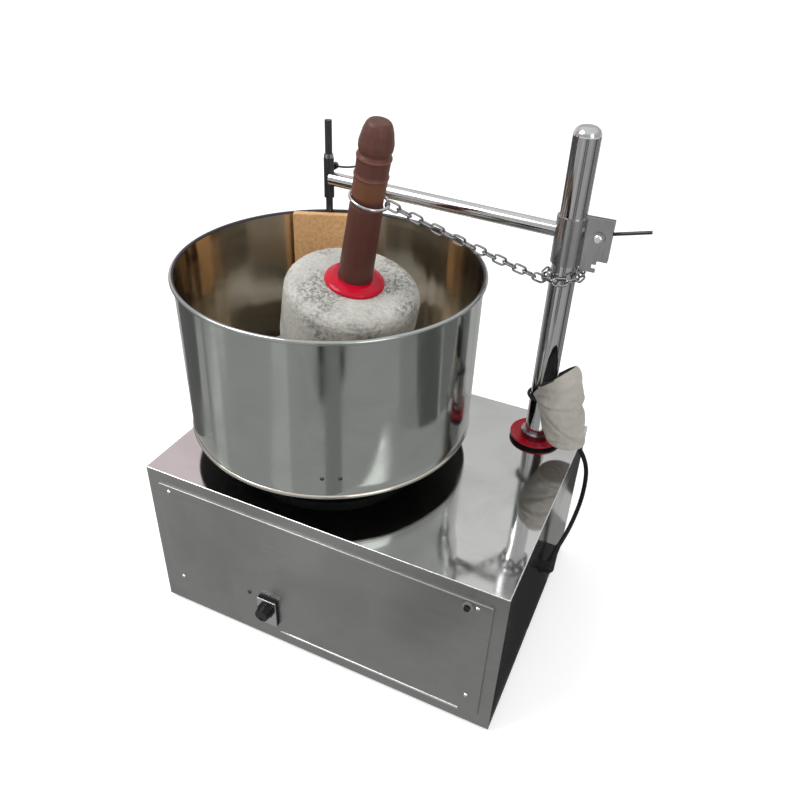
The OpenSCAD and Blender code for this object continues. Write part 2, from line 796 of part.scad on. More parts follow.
module indicator_lamp() color("maroon") {
    facing_front(lamp_x, panel_back + lamp_in, lamp_z) cylinder(r = lamp_r, h = lamp_in + sheet);
    facing_front(lamp_x, panel_front, lamp_z) cylinder(r1 = lamp_r, r2 = lamp_top_r, h = lamp_dome_h);
}

module reset_breaker() color("dimgray") difference() {
    union() {
        facing_front(reset_x, panel_back + breaker_len, reset_z) cylinder(r = breaker_r, h = breaker_len);
        facing_front(reset_x, panel_back, reset_z) cylinder(r = breaker_neck_r, h = sheet);
        facing_front(reset_x, panel_front, reset_z) cylinder(r = bezel_r, h = bezel_h);
    }
    facing_front(reset_x, panel_front + reset_in + reset_travel + 1, reset_z)
        cylinder(r = reset_r + run_gap, h = reset_in + reset_travel + bezel_h + 2);
}

module reset_button() color("black")
    facing_front(reset_x, panel_front + reset_in, reset_z) {
        cylinder(r = reset_r, h = reset_in + bezel_h + reset_proud - reset_edge);
        translate([0, 0, reset_in + bezel_h + reset_proud - reset_edge])
            cylinder(r1 = reset_r, r2 = reset_r - reset_edge, h = reset_edge);
    }

// Cord, pouch and inner wiring
module power_cord() color("black")
    swept_tube(
        smooth_path(concat(
            [cord_start, cord_start + [0, cord_straight, 0]],
            [for (p = cord_points) [base_x + p[0], base_y + p[1], foot_h + p[2]]],
            [cord_end]), 4),
        cord_d / 2, 10, [1, 0, 0]);

module pouch_disc(left, back, up, r, tilt = 0)
    translate([pouch_at[0] - left, pouch_at[1] + back, pouch_z + up]) rotate([0, tilt, pouch_tilt_dir])
        translate([0, 0, -pouch_disc_t]) cylinder(r = r, h = pouch_disc_t, $fn = 32);

module plug_pouch() color("tan") difference() {
    hull() {
        pouch_disc(0, 0, pouch_disc_t, pouch_low_r - pouch_round);
        pouch_disc(0, 0, pouch_round + pouch_disc_t, pouch_low_r);
        pouch_disc(pouch_mid_left, 0, pouch_mid_up, pouch_r);
        pouch_disc(pouch_top_left, pouch_top_back, pouch_mouth_up, pouch_mouth_r, pouch_tilt);
    }
    translate([post_x, post_y, pouch_z - 1]) cylinder(r = post_r + pass_gap, h = pouch_h + 2);
}

module pouch_tie() color("black") difference() {
    translate([post_x, post_y, tie_z]) rotate_extrude()
        translate([post_r + hole_gap + tie_r, 0]) circle(r = tie_r);
    translate([pouch_at[0] - pouch_mid_left, pouch_at[1], pouch_z])
        cylinder(r = pouch_r + pass_gap, h = pouch_h);
}

module wiring() color("firebrick") {
    swept_tube(smooth_path([
        [side_face - gland_in - wire_end_gap, gland_y, gland_z],
        [side_face - gland_in - wire_straight, gland_y, gland_z],
        [wire_side_x, gland_y - 2 * wire_bend, wire_high_z],
        [wire_side_x - wire_bend / 2, wire_front_y + wire_bend, wire_low_z],
        [wire_side_x - 3 * wire_bend, wire_front_y, wire_low_z],
        [base_x, wire_front_y, wire_low_z],
        [switch_x + switch_box / 2 + wire_straight, switch_in_y - switch_depth / 2, switch_z],
        [switch_x + switch_box / 2 + wire_end_gap, switch_in_y - switch_depth / 2, switch_z]
    ], 3), wire_r, 8, [0, 0, 1]);
    swept_tube(smooth_path([
        [switch_x, switch_in_y + wire_end_gap, switch_z],
        [switch_x, switch_in_y + wire_straight, switch_z],
        [base_x, base_y - inner_y + wire_cross_in, wire_high_z],
        [motor_left - wire_slack, motor_y - wire_slack, wire_high_z],
        [motor_left - wire_straight, motor_y, wire_high_z],
        [motor_left - wire_end_gap, motor_y, wire_high_z]
    ], 3), wire_r, 8, [0, 0, 1]);
}

// Motor and belt drive
module capacitor() color("lightgray") translate([capacitor_at[0], capacitor_at[1], floor_z])
    cylinder(r = capacitor_r, h = capacitor_h);

module motor_plate() color("dimgray") translate([motor_x, motor_y, floor_z]) difference() {
    translate([-motor_plate_w / 2, -motor_plate_w / 2, 0])
        cube([motor_plate_w, motor_plate_w, motor_plate_t]);
    for (x = [-1, 1], y = [-1, 1])
        translate([x * motor_bolt_at, y * motor_bolt_at, -1]) cylinder(r = bolt_r, h = motor_plate_t + 2);
}

module motor_housing() color("slategray") translate([motor_x, motor_y, motor_z]) difference() {
    cylinder(r = motor_r, h = motor_h);
    translate([0, 0, motor_wall]) cylinder(r = stator_r, h = motor_h);
    translate([0, 0, -1]) cylinder(r = motor_shaft_r + run_gap, h = motor_wall + 2);
}

module motor_stator() color("peru") translate([motor_x, motor_y, motor_z + motor_wall]) difference() {
    cylinder(r = stator_r, h = motor_h - 2 * motor_wall);
    translate([0, 0, -1]) cylinder(r = rotor_r + rotor_gap, h = motor_h);
}

module motor_cover() color("slategray") translate([motor_x, motor_y, motor_z + motor_h]) difference() {
    cylinder(r = motor_r, h = motor_cover_t);
    translate([0, 0, -1]) cylinder(r = motor_shaft_r + run_gap, h = motor_cover_t + 2);
}

module motor_rotor() color("silver") translate([motor_x, motor_y, motor_z]) {
    cylinder(r = motor_shaft_r, h = belt_z + pulley_h / 2 - motor_z);
    translate([0, 0, motor_wall + pass_gap]) cylinder(r = rotor_r, h = motor_h - motor_wall - 2 * pass_gap);
}

module pulley(floor_r, bore_r) difference() {
    cylinder(r = floor_r + groove_depth, h = pulley_h);
    translate([0, 0, -1]) cylinder(r = bore_r, h = pulley_h + 2);
    translate([0, 0, pulley_flange]) difference() {
        cylinder(r = floor_r + groove_depth + 1, h = pulley_h - 2 * pulley_flange);
        translate([0, 0, -1]) cylinder(r = floor_r, h = pulley_h);
    }
}

module motor_pulley() color("gray") translate([motor_x, motor_y, belt_z - pulley_h / 2])
    pulley(motor_pulley_r, motor_shaft_r);

module drum_pulley() color("gray") translate([drum_x, drum_y, belt_z - pulley_h / 2]) difference() {
    pulley(drum_pulley_r, shaft_r);
    for (z = [-1, pulley_h - (pulley_h - pulley_web_t) / 2])
        translate([0, 0, z]) difference() {
            cylinder(r = drum_pulley_r - pulley_rim_t, h = (pulley_h - pulley_web_t) / 2 + 1);
            translate([0, 0, -1]) cylinder(r = pulley_hub_r, h = pulley_h);
        }
}

// Outline round both pulleys: big arc, then small arc, joined by straight runs
function belt_outline(big_r, small_r) =
    let (wrap = acos((big_r - small_r) / belt_centres))
    concat(
        [for (i = [0 : 72]) let (a = wrap + i * (360 - 2 * wrap) / 72) big_r * [cos(a), sin(a)]],
        [for (i = [0 : 24]) let (a = i * 2 * wrap / 24 - wrap)
            [belt_centres, 0] + small_r * [cos(a), sin(a)]]
    );

module drive_belt() color("black") translate([drum_x, drum_y, belt_z - belt_h / 2])
    linear_extrude(belt_h) difference() {
        polygon(belt_outline(drum_pulley_r + belt_gap + belt_t, motor_pulley_r + belt_gap + belt_t));
        polygon(belt_outline(drum_pulley_r + belt_gap, motor_pulley_r + belt_gap));
    }

module main_shaft() color("silver") translate([drum_x, drum_y, shaft_low_z])
    cylinder(r = shaft_r, h = drum_z - shaft_low_z);

module shaft_bearings() color("lightsteelblue")
    for (z = [bearing_low_z, bearing_high_z])
        translate([drum_x, drum_y, z]) difference() {
            cylinder(r = bearing_r, h = bearing_h);
            translate([0, 0, -1]) cylinder(r = shaft_r + run_gap, h = bearing_h + 2);
        }

module bearing_housing() color("darkslategray") translate([drum_x, drum_y, floor_z]) difference() {
    union() {
        cylinder(r = housing_flange_r, h = housing_flange_t);
        cylinder(r = housing_r, h = housing_top - floor_z);
    }
    translate([0, 0, housing_flange_t]) cylinder(r = bearing_r - bearing_seat, h = housing_top);
    for (z = [bearing_low_z, bearing_high_z])
        translate([0, 0, z - floor_z]) cylinder(r = bearing_r, h = bearing_h);
    for (a = [45 : 90 : 315])
        rotate([0, 0, a]) translate([housing_bolt_at, 0, -1]) cylinder(r = bolt_r, h = housing_flange_t + 2);
}

module flange_bolt(grip) {
    cylinder(r = bolt_r, h = grip);
    translate([0, 0, grip]) cylinder(r = bolt_head_r, h = bolt_head_h, $fn = 6);
}

module mounting_bolts() color("silver") {
    for (a = [45 : 90 : 315])
        translate([drum_x, drum_y, floor_z]) rotate([0, 0, a]) translate([housing_bolt_at, 0, 0])
            flange_bolt(housing_flange_t);
    for (x = [-1, 1], y = [-1, 1])
        translate([motor_x + x * motor_bolt_at, motor_y + y * motor_bolt_at, floor_z])
            flange_bolt(motor_plate_t);
}

module shaft_seal() color("black") translate([drum_x, drum_y, 0]) difference() {
    union() {
        translate([0, 0, under_z]) cylinder(r = hub_r + seal_w, h = sheet);
        translate([0, 0, deck_z]) cylinder(r = hub_r + seal_w + seal_flange, h = seal_flange_t);
    }
    translate([0, 0, under_z - 1]) cylinder(r = hub_r + pass_gap, h = sheet + seal_flange_t + 2);
}

// Drum
module drum_carrier() color("dimgray") translate([drum_x, drum_y, 0]) difference() {
    union() {
        translate([0, 0, deck_z - hub_below]) cylinder(r = hub_r, h = hub_below + drum_gap);
        translate([0, 0, drum_z - carrier_t]) cylinder(r = carrier_r, h = carrier_t);
    }
    translate([0, 0, deck_z - hub_below - 1]) cylinder(r = shaft_r, h = hub_below + drum_gap + 2);
}

function wall_r(z) = drum_bottom_r + (drum_top_r - drum_bottom_r) * z / drum_h;
function arc_points(x, y, r, from, to, steps) =
    [for (i = [0 : steps]) let (a = from + (to - from) * i / steps) [x + r * cos(a), y + r * sin(a)]];

module drum() color("silver") translate([drum_x, drum_y, drum_z]) rotate_extrude()
    polygon(concat(
        [[0, 0]],
        arc_points(drum_bottom_r + drum_bead_proud - drum_bead_r, drum_bead_r, drum_bead_r, -90, 60, 8),
        [[wall_r(drum_bead_top), drum_bead_top], [wall_r(drum_rim_foot), drum_rim_foot]],
        arc_points(drum_rim_r - rim_r, drum_h - rim_r, rim_r, rim_from, 180, 14),
        [[drum_bottom_r - drum_t, drum_corner]],
        arc_points(drum_bottom_r - drum_corner, drum_corner, drum_corner - drum_t, 0, -90, 6),
        [[0, drum_t]]
    ));

module drum_rivets() color("white")
    for (a = [0, 120, 240], side = [-1, 1])
        translate([drum_x, drum_y, drum_z + rivet_z]) rotate([0, 0, a + rivet_turn + side * rivet_apart / 2])
            translate([wall_r(rivet_z) + rivet_gap, 0, 0]) rotate([0, 90 + drum_wall_lean, 0])
                cylinder(r1 = rivet_r, r2 = rivet_top_r, h = rivet_h);

module base_stone() color("gray") translate([drum_x, drum_y, stone_z]) difference() {
    cylinder(r = base_stone_r, h = base_stone_h);
    translate([0, 0, base_stone_floor + bowl_r]) sphere(r = bowl_r, $fn = 200);
}

// Pestle
module pestle_stone() color("lightgray") on_pestle() difference() {
    rotate_extrude() polygon(concat(
        arc_points(0, 0, pestle_r, -90, 0, 24),
        arc_points(pestle_r - pestle_shoulder, pestle_rise - pestle_shoulder, pestle_shoulder, 0, 90, 10),
        [[0, pestle_rise]]
    ));
    translate([0, 0, -tie_rod_low]) cylinder(r = tie_rod_r, h = pestle_rise + tie_rod_low + 1);
}

module stone_collar() color("crimson") on_pestle() translate([0, 0, pestle_rise]) rotate_extrude()
    polygon([
        [handle_r, 0], [collar_r, 0], [collar_r, collar_edge_h], [collar_r - collar_slope, collar_slope_h],
        [handle_r + collar_top_w, collar_h], [handle_r, collar_h]
    ]);

// Turned outline of the handle, from the stone's top to its head
function handle_outline(l) = concat(
    [[tie_rod_r, 0], [handle_r, 0]],
    [for (m = head_marks) [head_r + m[1], neck_at + m[0]]],
    [for (m = head_end) [head_r + m[1], l - m[0]]],
    [[0, l], [0, l - tie_rod_short], [tie_rod_r, l - tie_rod_short]]
);

module wooden_handle() color("saddlebrown") on_pestle() translate([0, 0, pestle_rise])
    rotate_extrude() polygon(handle_outline(handle_len));

module handle_rod() color("silver") on_pestle() translate([0, 0, -tie_rod_low])
    cylinder(r = tie_rod_r, h = pestle_rise + tie_rod_low + handle_len - tie_rod_short);

// Ring and chain
module handle_ring() color("white") translate(ring_at)
    rotate([0, acos(ring_normal[2]), atan2(ring_normal[1], ring_normal[0])])
        rotate_extrude() translate([ring_r, 0]) circle(d = ring_d, $fn = 32);

// A link along X in the XY plane: pitch is the step to its neighbour, slack its free play
module chain_link(pitch, slack) {
    end = (pitch + slack - link_w) / 2;
    for (s = [-1, 1]) {
        translate([s * end, 0, 0]) rotate([0, 0, s * 90 - 180]) rotate_extrude(angle = 180)
            translate([link_mid_r, 0]) circle(d = wire_d, $fn = 24);
        translate([-end, s * link_mid_r, 0]) rotate([0, 90, 0])
            cylinder(d = wire_d, h = 2 * end, $fn = 24);
    }
}

module chain() color("silver") {
    run = norm([chain_to[0] - chain_from[0], chain_to[1] - chain_from[1]]);
    for (i = [0 : chain_count - 1]) {
        t = (i + 0.5) / chain_count;
        drop = 4 * chain_sag * t * (1 - t);
        slope = (chain_to[2] - chain_from[2] - 4 * chain_sag * (1 - 2 * t)) / run;
        translate(chain_from + (chain_to - chain_from) * t - [0, 0, drop])
            rotate([0, -atan(slope), run_turn])
                rotate([i % 2 == 0 ? 90 : 0, 0, 0]) chain_link(chain_pitch, link_gap);
    }
    translate(loop_at) rotate([0, -loop_tilt, chain_turn])
        for (i = [0 : loop_count - 1])
            rotate([0, 0, 180 + i * 360 / loop_count]) translate([loop_apothem, 0, 0])
                rotate([0, 0, 90]) rotate([i % 2 == 0 ? link_roll : -link_roll, 0, 0])
                    chain_link(loop_pitch, loop_slack);
}

// Post
module post_socket() color("dimgray") translate([post_x, post_y, 0]) difference() {
    union() {
        translate([0, 0, under_z - socket_flange_t]) cylinder(r = socket_flange_r, h = socket_flange_t);
        translate([0, 0, under_z - socket_h - socket_wall])
            cylinder(r = post_r + socket_wall, h = socket_h + socket_wall);
    }
    translate([0, 0, under_z - socket_h]) cylinder(r = post_r, h = socket_h + 1);
}

module post_tube() color("silver") translate([post_x, post_y, under_z - socket_h]) difference() {
    cylinder(r = post_r, h = post_top_z - cap_h - under_z + socket_h);
    translate([0, 0, -1]) cylinder(r = post_r - post_wall, h = post_top_z);
}

module post_cap() color("silver") translate([post_x, post_y, post_top_z - cap_h]) rotate_extrude()
    polygon(concat(
        [[0, -cap_plug_h], [post_r - post_wall, -cap_plug_h], [post_r - post_wall, 0]],
        arc_points(post_r - cap_h, 0, cap_h, 0, 90, 12),
        [[0, cap_h]]
    ));

module post_flange() color("crimson") translate([post_x, post_y, deck_z]) rotate_extrude()
    polygon([
        [post_r + hole_gap, 0], [flange_r - flange_foot_in, 0], [flange_r, flange_rim_h - flange_edge_h],
        [flange_r, flange_rim_h], [flange_r - flange_rim_w, flange_rim_h],
        [lock_ring_r + 1, flange_floor_h], [post_r + hole_gap, flange_floor_h]
    ]);

module post_lock_ring() color("silver") translate([post_x, post_y, deck_z + flange_floor_h]) rotate_extrude()
    polygon([
        [post_r + hole_gap, 0], [lock_ring_r, 0], [lock_ring_r, lock_ring_h - lock_ring_edge],
        [lock_ring_r - lock_ring_edge, lock_ring_h], [post_r + hole_gap, lock_ring_h]
    ]);

// Scraper arm
module arm_clamp() color("darkgray") difference() {
    union() {
        translate([post_x, post_y, clamp_low]) cylinder(r = clamp_r, h = clamp_h);
        for (y = [-ear_y - clamp_t, ear_y])
            translate([post_x, post_y + y, ear_low]) cube([ear_reach, clamp_t, ear_h]);
        translate([post_x + tab_in, post_y - ear_y - clamp_t, ear_low - tab_h])
            cube([tab_w, clamp_t, tab_h + 1]);
        facing_front(post_x + ear_hole_out, post_y - ear_y - clamp_t, arm_z) cylinder(r = nut_r, h = nut_t);
    }
    translate([post_x, post_y, ear_low - tab_h]) cylinder(r = post_r + run_gap, h = ear_h + clamp_h + tab_h);
    translate([post_x, post_y - ear_y, clamp_low - 1]) cube([ear_reach + 1, ear_slit, clamp_h + ear_h]);
    facing_front(post_x + ear_hole_out, post_y + clamp_r, arm_z)
        cylinder(r = clamp_screw_r + run_gap, h = 2 * clamp_r);
    translate([post_x + tab_in + tab_w - notch, post_y - clamp_r, ear_low - tab_h / 2 - notch / 2])
        cube([notch + 1, clamp_r, notch]);
}

module clamp_screw() color("silver")
    facing_front(post_x + ear_hole_out, post_y + ear_y + clamp_t + pass_gap, arm_z) {
        grip = ear_slit + 2 * clamp_t + nut_t + pass_gap;
        cylinder(r = clamp_screw_r, h = grip);
        translate([0, 0, grip]) rotate_extrude() polygon(concat(
            [[0, 0]],
            arc_points(clamp_screw_r - clamp_dome_h, 0, clamp_dome_h, 0, 90, 8),
            [[0, clamp_dome_h]]
        ));
        translate([0, 0, -screw_head_len]) cylinder(r = clamp_head_r, h = screw_head_len);
        translate([0, 0, -screw_head_len / 2]) rotate([0, 0, bar_rise]) rotate([0, 90, 0])
            cylinder(r = bar_r, h = bar_len);
    }

module arm_tube() color("silver") difference() {
    translate([post_x, post_y, arm_z]) rotate([0, 0, 180 - arm_dir]) rotate([0, 90, 0]) difference() {
        cylinder(r = arm_r, h = arm_len - sleeve_r / 2);
        translate([0, 0, -1]) cylinder(r = arm_r - arm_wall, h = arm_len);
    }
    translate([post_x, post_y, clamp_low]) cylinder(r = clamp_r, h = clamp_h);
    translate([sleeve_at[0], sleeve_at[1], sleeve_low]) cylinder(r = sleeve_r, h = sleeve_h);
}

module arm_sleeve() color("gray") difference() {
    translate([sleeve_at[0], sleeve_at[1], sleeve_low]) cylinder(r = sleeve_r, h = sleeve_h);
    translate([sleeve_at[0], sleeve_at[1], sleeve_low - 1]) cylinder(r = rod_r + run_gap, h = sleeve_h + 2);
    facing_rear(sleeve_at[0], sleeve_at[1], lock_z) cylinder(r = lock_screw_r + run_gap, h = sleeve_r + 1);
}

module lock_screw() color("silver") facing_rear(sleeve_at[0], sleeve_at[1], lock_z) {
    translate([0, 0, rod_r + lock_tip_gap]) cylinder(r = lock_screw_r, h = lock_out - rod_r - lock_tip_gap);
    translate([0, 0, lock_out - lock_head_len]) cylinder(r = lock_head_r, h = lock_head_len);
    translate([0, 0, lock_out - lock_head_len / 2]) rotate([0, 0, lever_drop])
        translate([0, -lever_bend_r, 0]) rotate([0, 0, 90 - lever_bend]) rotate_extrude(angle = lever_bend)
            translate([lever_bend_r, 0]) circle(r = lever_r);
}

module scraper_rod() color("silver") translate([sleeve_at[0], sleeve_at[1], 0]) {
    translate([0, 0, rod_end - pass_gap]) cylinder(r = rod_r, h = arm_z + rod_top - rod_end + pass_gap);
    translate([0, 0, rod_end - pass_gap - rod_foot_h]) cylinder(r = rod_foot_r, h = rod_foot_h);
}

module rod_collar() color("white")
    translate([sleeve_at[0], sleeve_at[1], sleeve_top + pass_gap]) difference() {
        cylinder(r = rod_collar_r, h = rod_collar_h);
        translate([0, 0, -1]) cylinder(r = rod_r, h = rod_collar_h + 2);
    }

module scraper_board() color("burlywood") on_board(board_low)
    translate([-board_left, -board_gap - board_t, 0]) cube([board_left + board_right, board_t, board_h]);

module board_clips() color("silver") on_board(0)
    for (d = clip_drops)
        translate([0, 0, board_top - d - clip_h]) difference() {
            union() {
                cylinder(r = clip_r, h = clip_h - pass_gap);
                translate([-clip_ear_w / 2, -board_gap, 0]) cube([clip_ear_w, clip_ear_t, clip_h - pass_gap]);
            }
            translate([0, 0, -1]) cylinder(r = rod_r + run_gap, h = clip_h + 2);
            translate([-clip_ear_w, -board_gap - clip_r, -1]) cube([2 * clip_ear_w, clip_r, clip_h + 2]);
        }

bottom_tray();
rubber_feet();
left_side();
right_side();
rear_panel();
front_frame();
access_panel();
panel_screws();
top_cover();
switch_gasket();
switch_plate();
switch_body();
switch_knob();
indicator_lamp();
reset_breaker();
reset_button();
cord_gland();
power_cord();
plug_pouch();
pouch_tie();
wiring();
capacitor();
motor_plate();
motor_housing();
motor_stator();
motor_cover();
motor_rotor();
motor_pulley();
drive_belt();
drum_pulley();
main_shaft();
shaft_bearings();
bearing_housing();
mounting_bolts();
shaft_seal();
drum_carrier();
drum();
drum_rivets();
base_stone();
pestle_stone();
stone_collar();
wooden_handle();
handle_rod();
handle_ring();
chain();
post_socket();
post_tube();
post_cap();
post_flange();
post_lock_ring();
arm_clamp();
clamp_screw();
arm_tube();
arm_sleeve();
lock_screw();
scraper_rod();
rod_collar();
scraper_board();
board_clips();
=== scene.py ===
"""Looks of a table-top wet grinder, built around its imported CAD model."""
import json
import math

import bmesh
import bpy
from mathutils import Matrix, Vector, noise


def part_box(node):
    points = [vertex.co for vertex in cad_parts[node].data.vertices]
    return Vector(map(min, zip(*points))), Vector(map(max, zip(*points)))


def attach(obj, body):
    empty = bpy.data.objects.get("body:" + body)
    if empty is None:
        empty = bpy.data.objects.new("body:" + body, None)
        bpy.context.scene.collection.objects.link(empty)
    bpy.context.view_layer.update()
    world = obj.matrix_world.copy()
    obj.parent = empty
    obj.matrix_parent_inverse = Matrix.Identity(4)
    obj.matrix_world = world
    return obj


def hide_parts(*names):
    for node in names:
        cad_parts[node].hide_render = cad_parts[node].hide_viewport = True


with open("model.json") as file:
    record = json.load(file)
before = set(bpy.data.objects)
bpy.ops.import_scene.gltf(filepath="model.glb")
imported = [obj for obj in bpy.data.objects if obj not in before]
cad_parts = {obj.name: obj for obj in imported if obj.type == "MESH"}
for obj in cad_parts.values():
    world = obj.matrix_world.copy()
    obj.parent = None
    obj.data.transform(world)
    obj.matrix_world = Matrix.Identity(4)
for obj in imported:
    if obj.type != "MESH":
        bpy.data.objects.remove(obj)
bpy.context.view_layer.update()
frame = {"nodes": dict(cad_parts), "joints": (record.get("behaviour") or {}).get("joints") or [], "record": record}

bl_info = {
    "name": "Wet grinder looks",
    "version": (1, 0, 0),
    "blender": (4, 5, 0),
    "location": "3D View > Sidebar > Grinder",
    "description": "Finishes, soft pieces, stage and camera of a table-top wet grinder",
    "category": "Object",
}

NODES = frame["nodes"]
MM = 0.001


# Places that the CAD model gives
def middle(node):
    """Centre of a CAD node's box."""
    low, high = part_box(node)
    return (low + high) / 2


CABINET_LOW, CABINET_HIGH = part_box("front_frame")
CABINET = Vector((middle("top_cover").x, middle("top_cover").y, CABINET_LOW.z))
DECK_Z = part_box("top_cover")[1].z
DRUM_LOW, DRUM_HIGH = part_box("drum")
DRUM_AXIS = Vector((middle("drum").x, middle("drum").y, DRUM_LOW.z))
POST = Vector((middle("post_tube").x, middle("post_tube").y, DECK_Z))
POST_R = (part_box("post_tube")[1].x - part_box("post_tube")[0].x) / 2
PESTLE_JOINT = next(j for j in frame["joints"] if j["name"] == "pestle_spin")
PESTLE_AT = Vector(PESTLE_JOINT["pos_m"])
PESTLE_TURN = Vector((0, 0, 1)).rotation_difference(Vector(PESTLE_JOINT["axis"])).to_matrix().to_4x4()


def from_cabinet(x, y, z):
    """A point from the cabinet's centre and bottom, in millimetres."""
    return CABINET + Vector((x, y, z)) * MM


# Settings that a user would change
class GrinderSizes(bpy.types.PropertyGroup):
    """Sizes of the pieces that are made here."""

    cord_d: bpy.props.FloatProperty(
        name="Cord diameter", description="Diameter of the mains cord", default=0.0056, unit="LENGTH")
    lathe_steps: bpy.props.IntProperty(
        name="Round steps", description="Faces round a turned piece", default=192, min=48)
    stone_rough: bpy.props.FloatProperty(
        name="Stone roughness", description="Depth of the chips on the pestle's shoulder",
        default=0.0012, unit="LENGTH")
    pouch_fold: bpy.props.FloatProperty(
        name="Pouch folds", description="Depth of the folds in the pouch", default=0.0020, unit="LENGTH")


def colour_setting(name, words, value):
    """A colour property."""
    return bpy.props.FloatVectorProperty(
        name=name, description=words, subtype="COLOR", size=3, min=0, max=1, default=value)


class GrinderColours(bpy.types.PropertyGroup):
    """Colours of the finishes."""

    mirror: colour_setting("Mirror steel", "Polished sheet of the deck and the sides", (0.44, 0.44, 0.43))
    # Green tint of the drum's outside: a painted reflection of the floor round it
    drum: colour_setting("Drum steel", "Polished sheet of the drum's outside", (0.43, 0.45, 0.432))
    # Warm tint of the drum's inside: a painted reflection of the wooden board
    inner: colour_setting("Inner drum steel", "Sheet of the drum's inside", (0.65, 0.60, 0.52))
    satin: colour_setting("Satin steel", "Sheet of the front", (0.35, 0.35, 0.345))
    chrome: colour_setting("Chrome", "Post, arm, ring, clamp and chain", (0.58, 0.58, 0.59))
    plain: colour_setting("Plain steel", "Clips and inner steel", (0.34, 0.34, 0.33))
    dark: colour_setting("Dark steel", "Scraper rod and its screws", (0.08, 0.08, 0.088))
    red: colour_setting("Red plastic", "Collar and post flange", (0.50, 0.003, 0.022))
    handle: colour_setting("Handle wood", "Turned handle", (0.088, 0.030, 0.021))
    board: colour_setting("Board wood", "Scraper board", (0.56, 0.325, 0.15))
    stone: colour_setting("Granite", "Pestle and base stone", (0.52, 0.515, 0.475))
    cloth: colour_setting("Pouch cloth", "Pouch on the post", (0.38, 0.36, 0.32))
    black: colour_setting("Black", "Cord, gland, knob and rubber", (0.012, 0.012, 0.013))


class GrinderStage(bpy.types.PropertyGroup):
    """Light and floor."""

    world_level: bpy.props.FloatProperty(
        name="World", description="Strength of the soft light all round", default=0.80)
    key_power: bpy.props.FloatProperty(
        name="Key", description="Power of the large lamp", default=36.0, unit="POWER")
    fill_power: bpy.props.FloatProperty(
        name="Fill", description="Power of the small lamp", default=10.0, unit="POWER")
    floor_lift: bpy.props.FloatProperty(
        name="Floor lift", description="White that the background adds to the floor", default=0.34)
    card_level: bpy.props.FloatProperty(
        name="Grey card", description="Brightness of the card that the steel shows in place of the floor",
        default=0.48)


def sizes():
    return bpy.context.scene.grinder_sizes


def colours():
    return bpy.context.scene.grinder_colours


def stage_settings():
    return bpy.context.scene.grinder_stage


# Node trees
class Graph:
    """Adds nodes to one tree and links them."""

    def __init__(self, tree):
        self.tree = tree

    def put(self, socket, value):
        if isinstance(value, bpy.types.NodeSocket):
            self.tree.links.new(value, socket)
        elif socket.type == "RGBA" and len(value) == 3:
            socket.default_value = (*value, 1.0)
        else:
            socket.default_value = value

    def add(self, kind, inputs=None, **settings):
        node = self.tree.nodes.new(kind)
        for key, value in settings.items():
            setattr(node, key, value)
        for key, value in (inputs or {}).items():
            self.put(node.inputs[key], value)
        return node

    def math(self, operation, a, b=0.0):
        return self.add("ShaderNodeMath", {0: a, 1: b}, operation=operation).outputs[0]

    def ramp(self, value, low, high, to_low=0.0, to_high=1.0):
        node = self.add("ShaderNodeMapRange", {
            "Value": value, "From Min": low, "From Max": high, "To Min": to_low, "To Max": to_high})
        return node.outputs["Result"]

    def mix(self, share, a, b):
        node = self.add("ShaderNodeMix", {0: share, 6: a, 7: b}, data_type="RGBA")
        return node.outputs[2]

    def bump(self, height, depth, below=None):
        node = self.add("ShaderNodeBump", {"Height": height, "Distance": depth})
        if below is not None:
            self.put(node.inputs["Normal"], below)
        return node.outputs["Normal"]

    def group(self, name, **inputs):
        node = self.add("ShaderNodeGroup", node_tree=bpy.data.node_groups[name])
        for key, value in inputs.items():
            self.put(node.inputs[key.replace("_", " ")], value)
        return node.outputs

    def coords(self):
        return self.add("ShaderNodeTexCoord").outputs["Object"]


# Attribute that keeps a corner's place in the frame it was made in
OWN_PLACE = "own_place"
KINDS = {"v": "NodeSocketVector", "f": "NodeSocketFloat"}


def new_group(name, inputs, outputs, build):
    """A shader node group with named sockets; build gets the graph and the input sockets."""
    tree = bpy.data.node_groups.new(name, "ShaderNodeTree")
    for label, kind, value in inputs:
        socket = tree.interface.new_socket(name=label, in_out="INPUT", socket_type=KINDS[kind])
        if value is not None:
            socket.default_value = value
    for label in outputs:
        tree.interface.new_socket(name=label, in_out="OUTPUT", socket_type=KINDS["f"])
    graph = Graph(tree)
    start = graph.add("NodeGroupInput")
    end = graph.add("NodeGroupOutput")
    for label, value in build(graph, start.outputs).items():
        graph.put(end.inputs[label], value)


def noise_of(graph, vector, scale, detail=3.0, rough=0.5, twist=0.0):
    node = graph.add("ShaderNodeTexNoise", {
        "Vector": vector, "Scale": scale, "Detail": detail, "Roughness": rough, "Distortion": twist})
    return node.outputs["Fac"]


def lines_group(graph, given):
    spread = graph.add("ShaderNodeMapping", {"Vector": given["Vector"], "Scale": given["Stretch"]})
    scratches = noise_of(graph, spread.outputs[0], 1.0, 4.0, 0.65)
    return {"Lines": graph.ramp(scratches, 0.3, 0.7)}


def smudge_group(graph, given):
    soft = noise_of(graph, given["Vector"], given["Scale"], 4.0, 0.6, 0.6)
    return {"Smudge": graph.ramp(soft, 0.42, 0.72)}


def waves_group(graph, given):
    spread = graph.add("ShaderNodeMapping", {"Vector": given["Vector"], "Scale": given["Stretch"]})
    return {"Height": noise_of(graph, spread.outputs[0], 1.0, 1.0, 0.4)}


def granite_group(graph, given):
    cells = graph.add("ShaderNodeTexVoronoi", {"Vector": given["Vector"], "Scale": given["Scale"]})
    grain = graph.add("ShaderNodeSeparateColor", {"Color": cells.outputs["Color"]}).outputs["Red"]
    chips = noise_of(graph, given["Vector"], graph.math("MULTIPLY", given["Scale"], 0.55), 6.0, 0.7, 0.4)
    cloud = noise_of(graph, given["Vector"], graph.math("MULTIPLY", given["Scale"], 0.06), 3.0)
    return {"Grain": grain, "Chips": graph.ramp(chips, 0.40, 0.66), "Cloud": graph.ramp(cloud, 0.3, 0.7)}


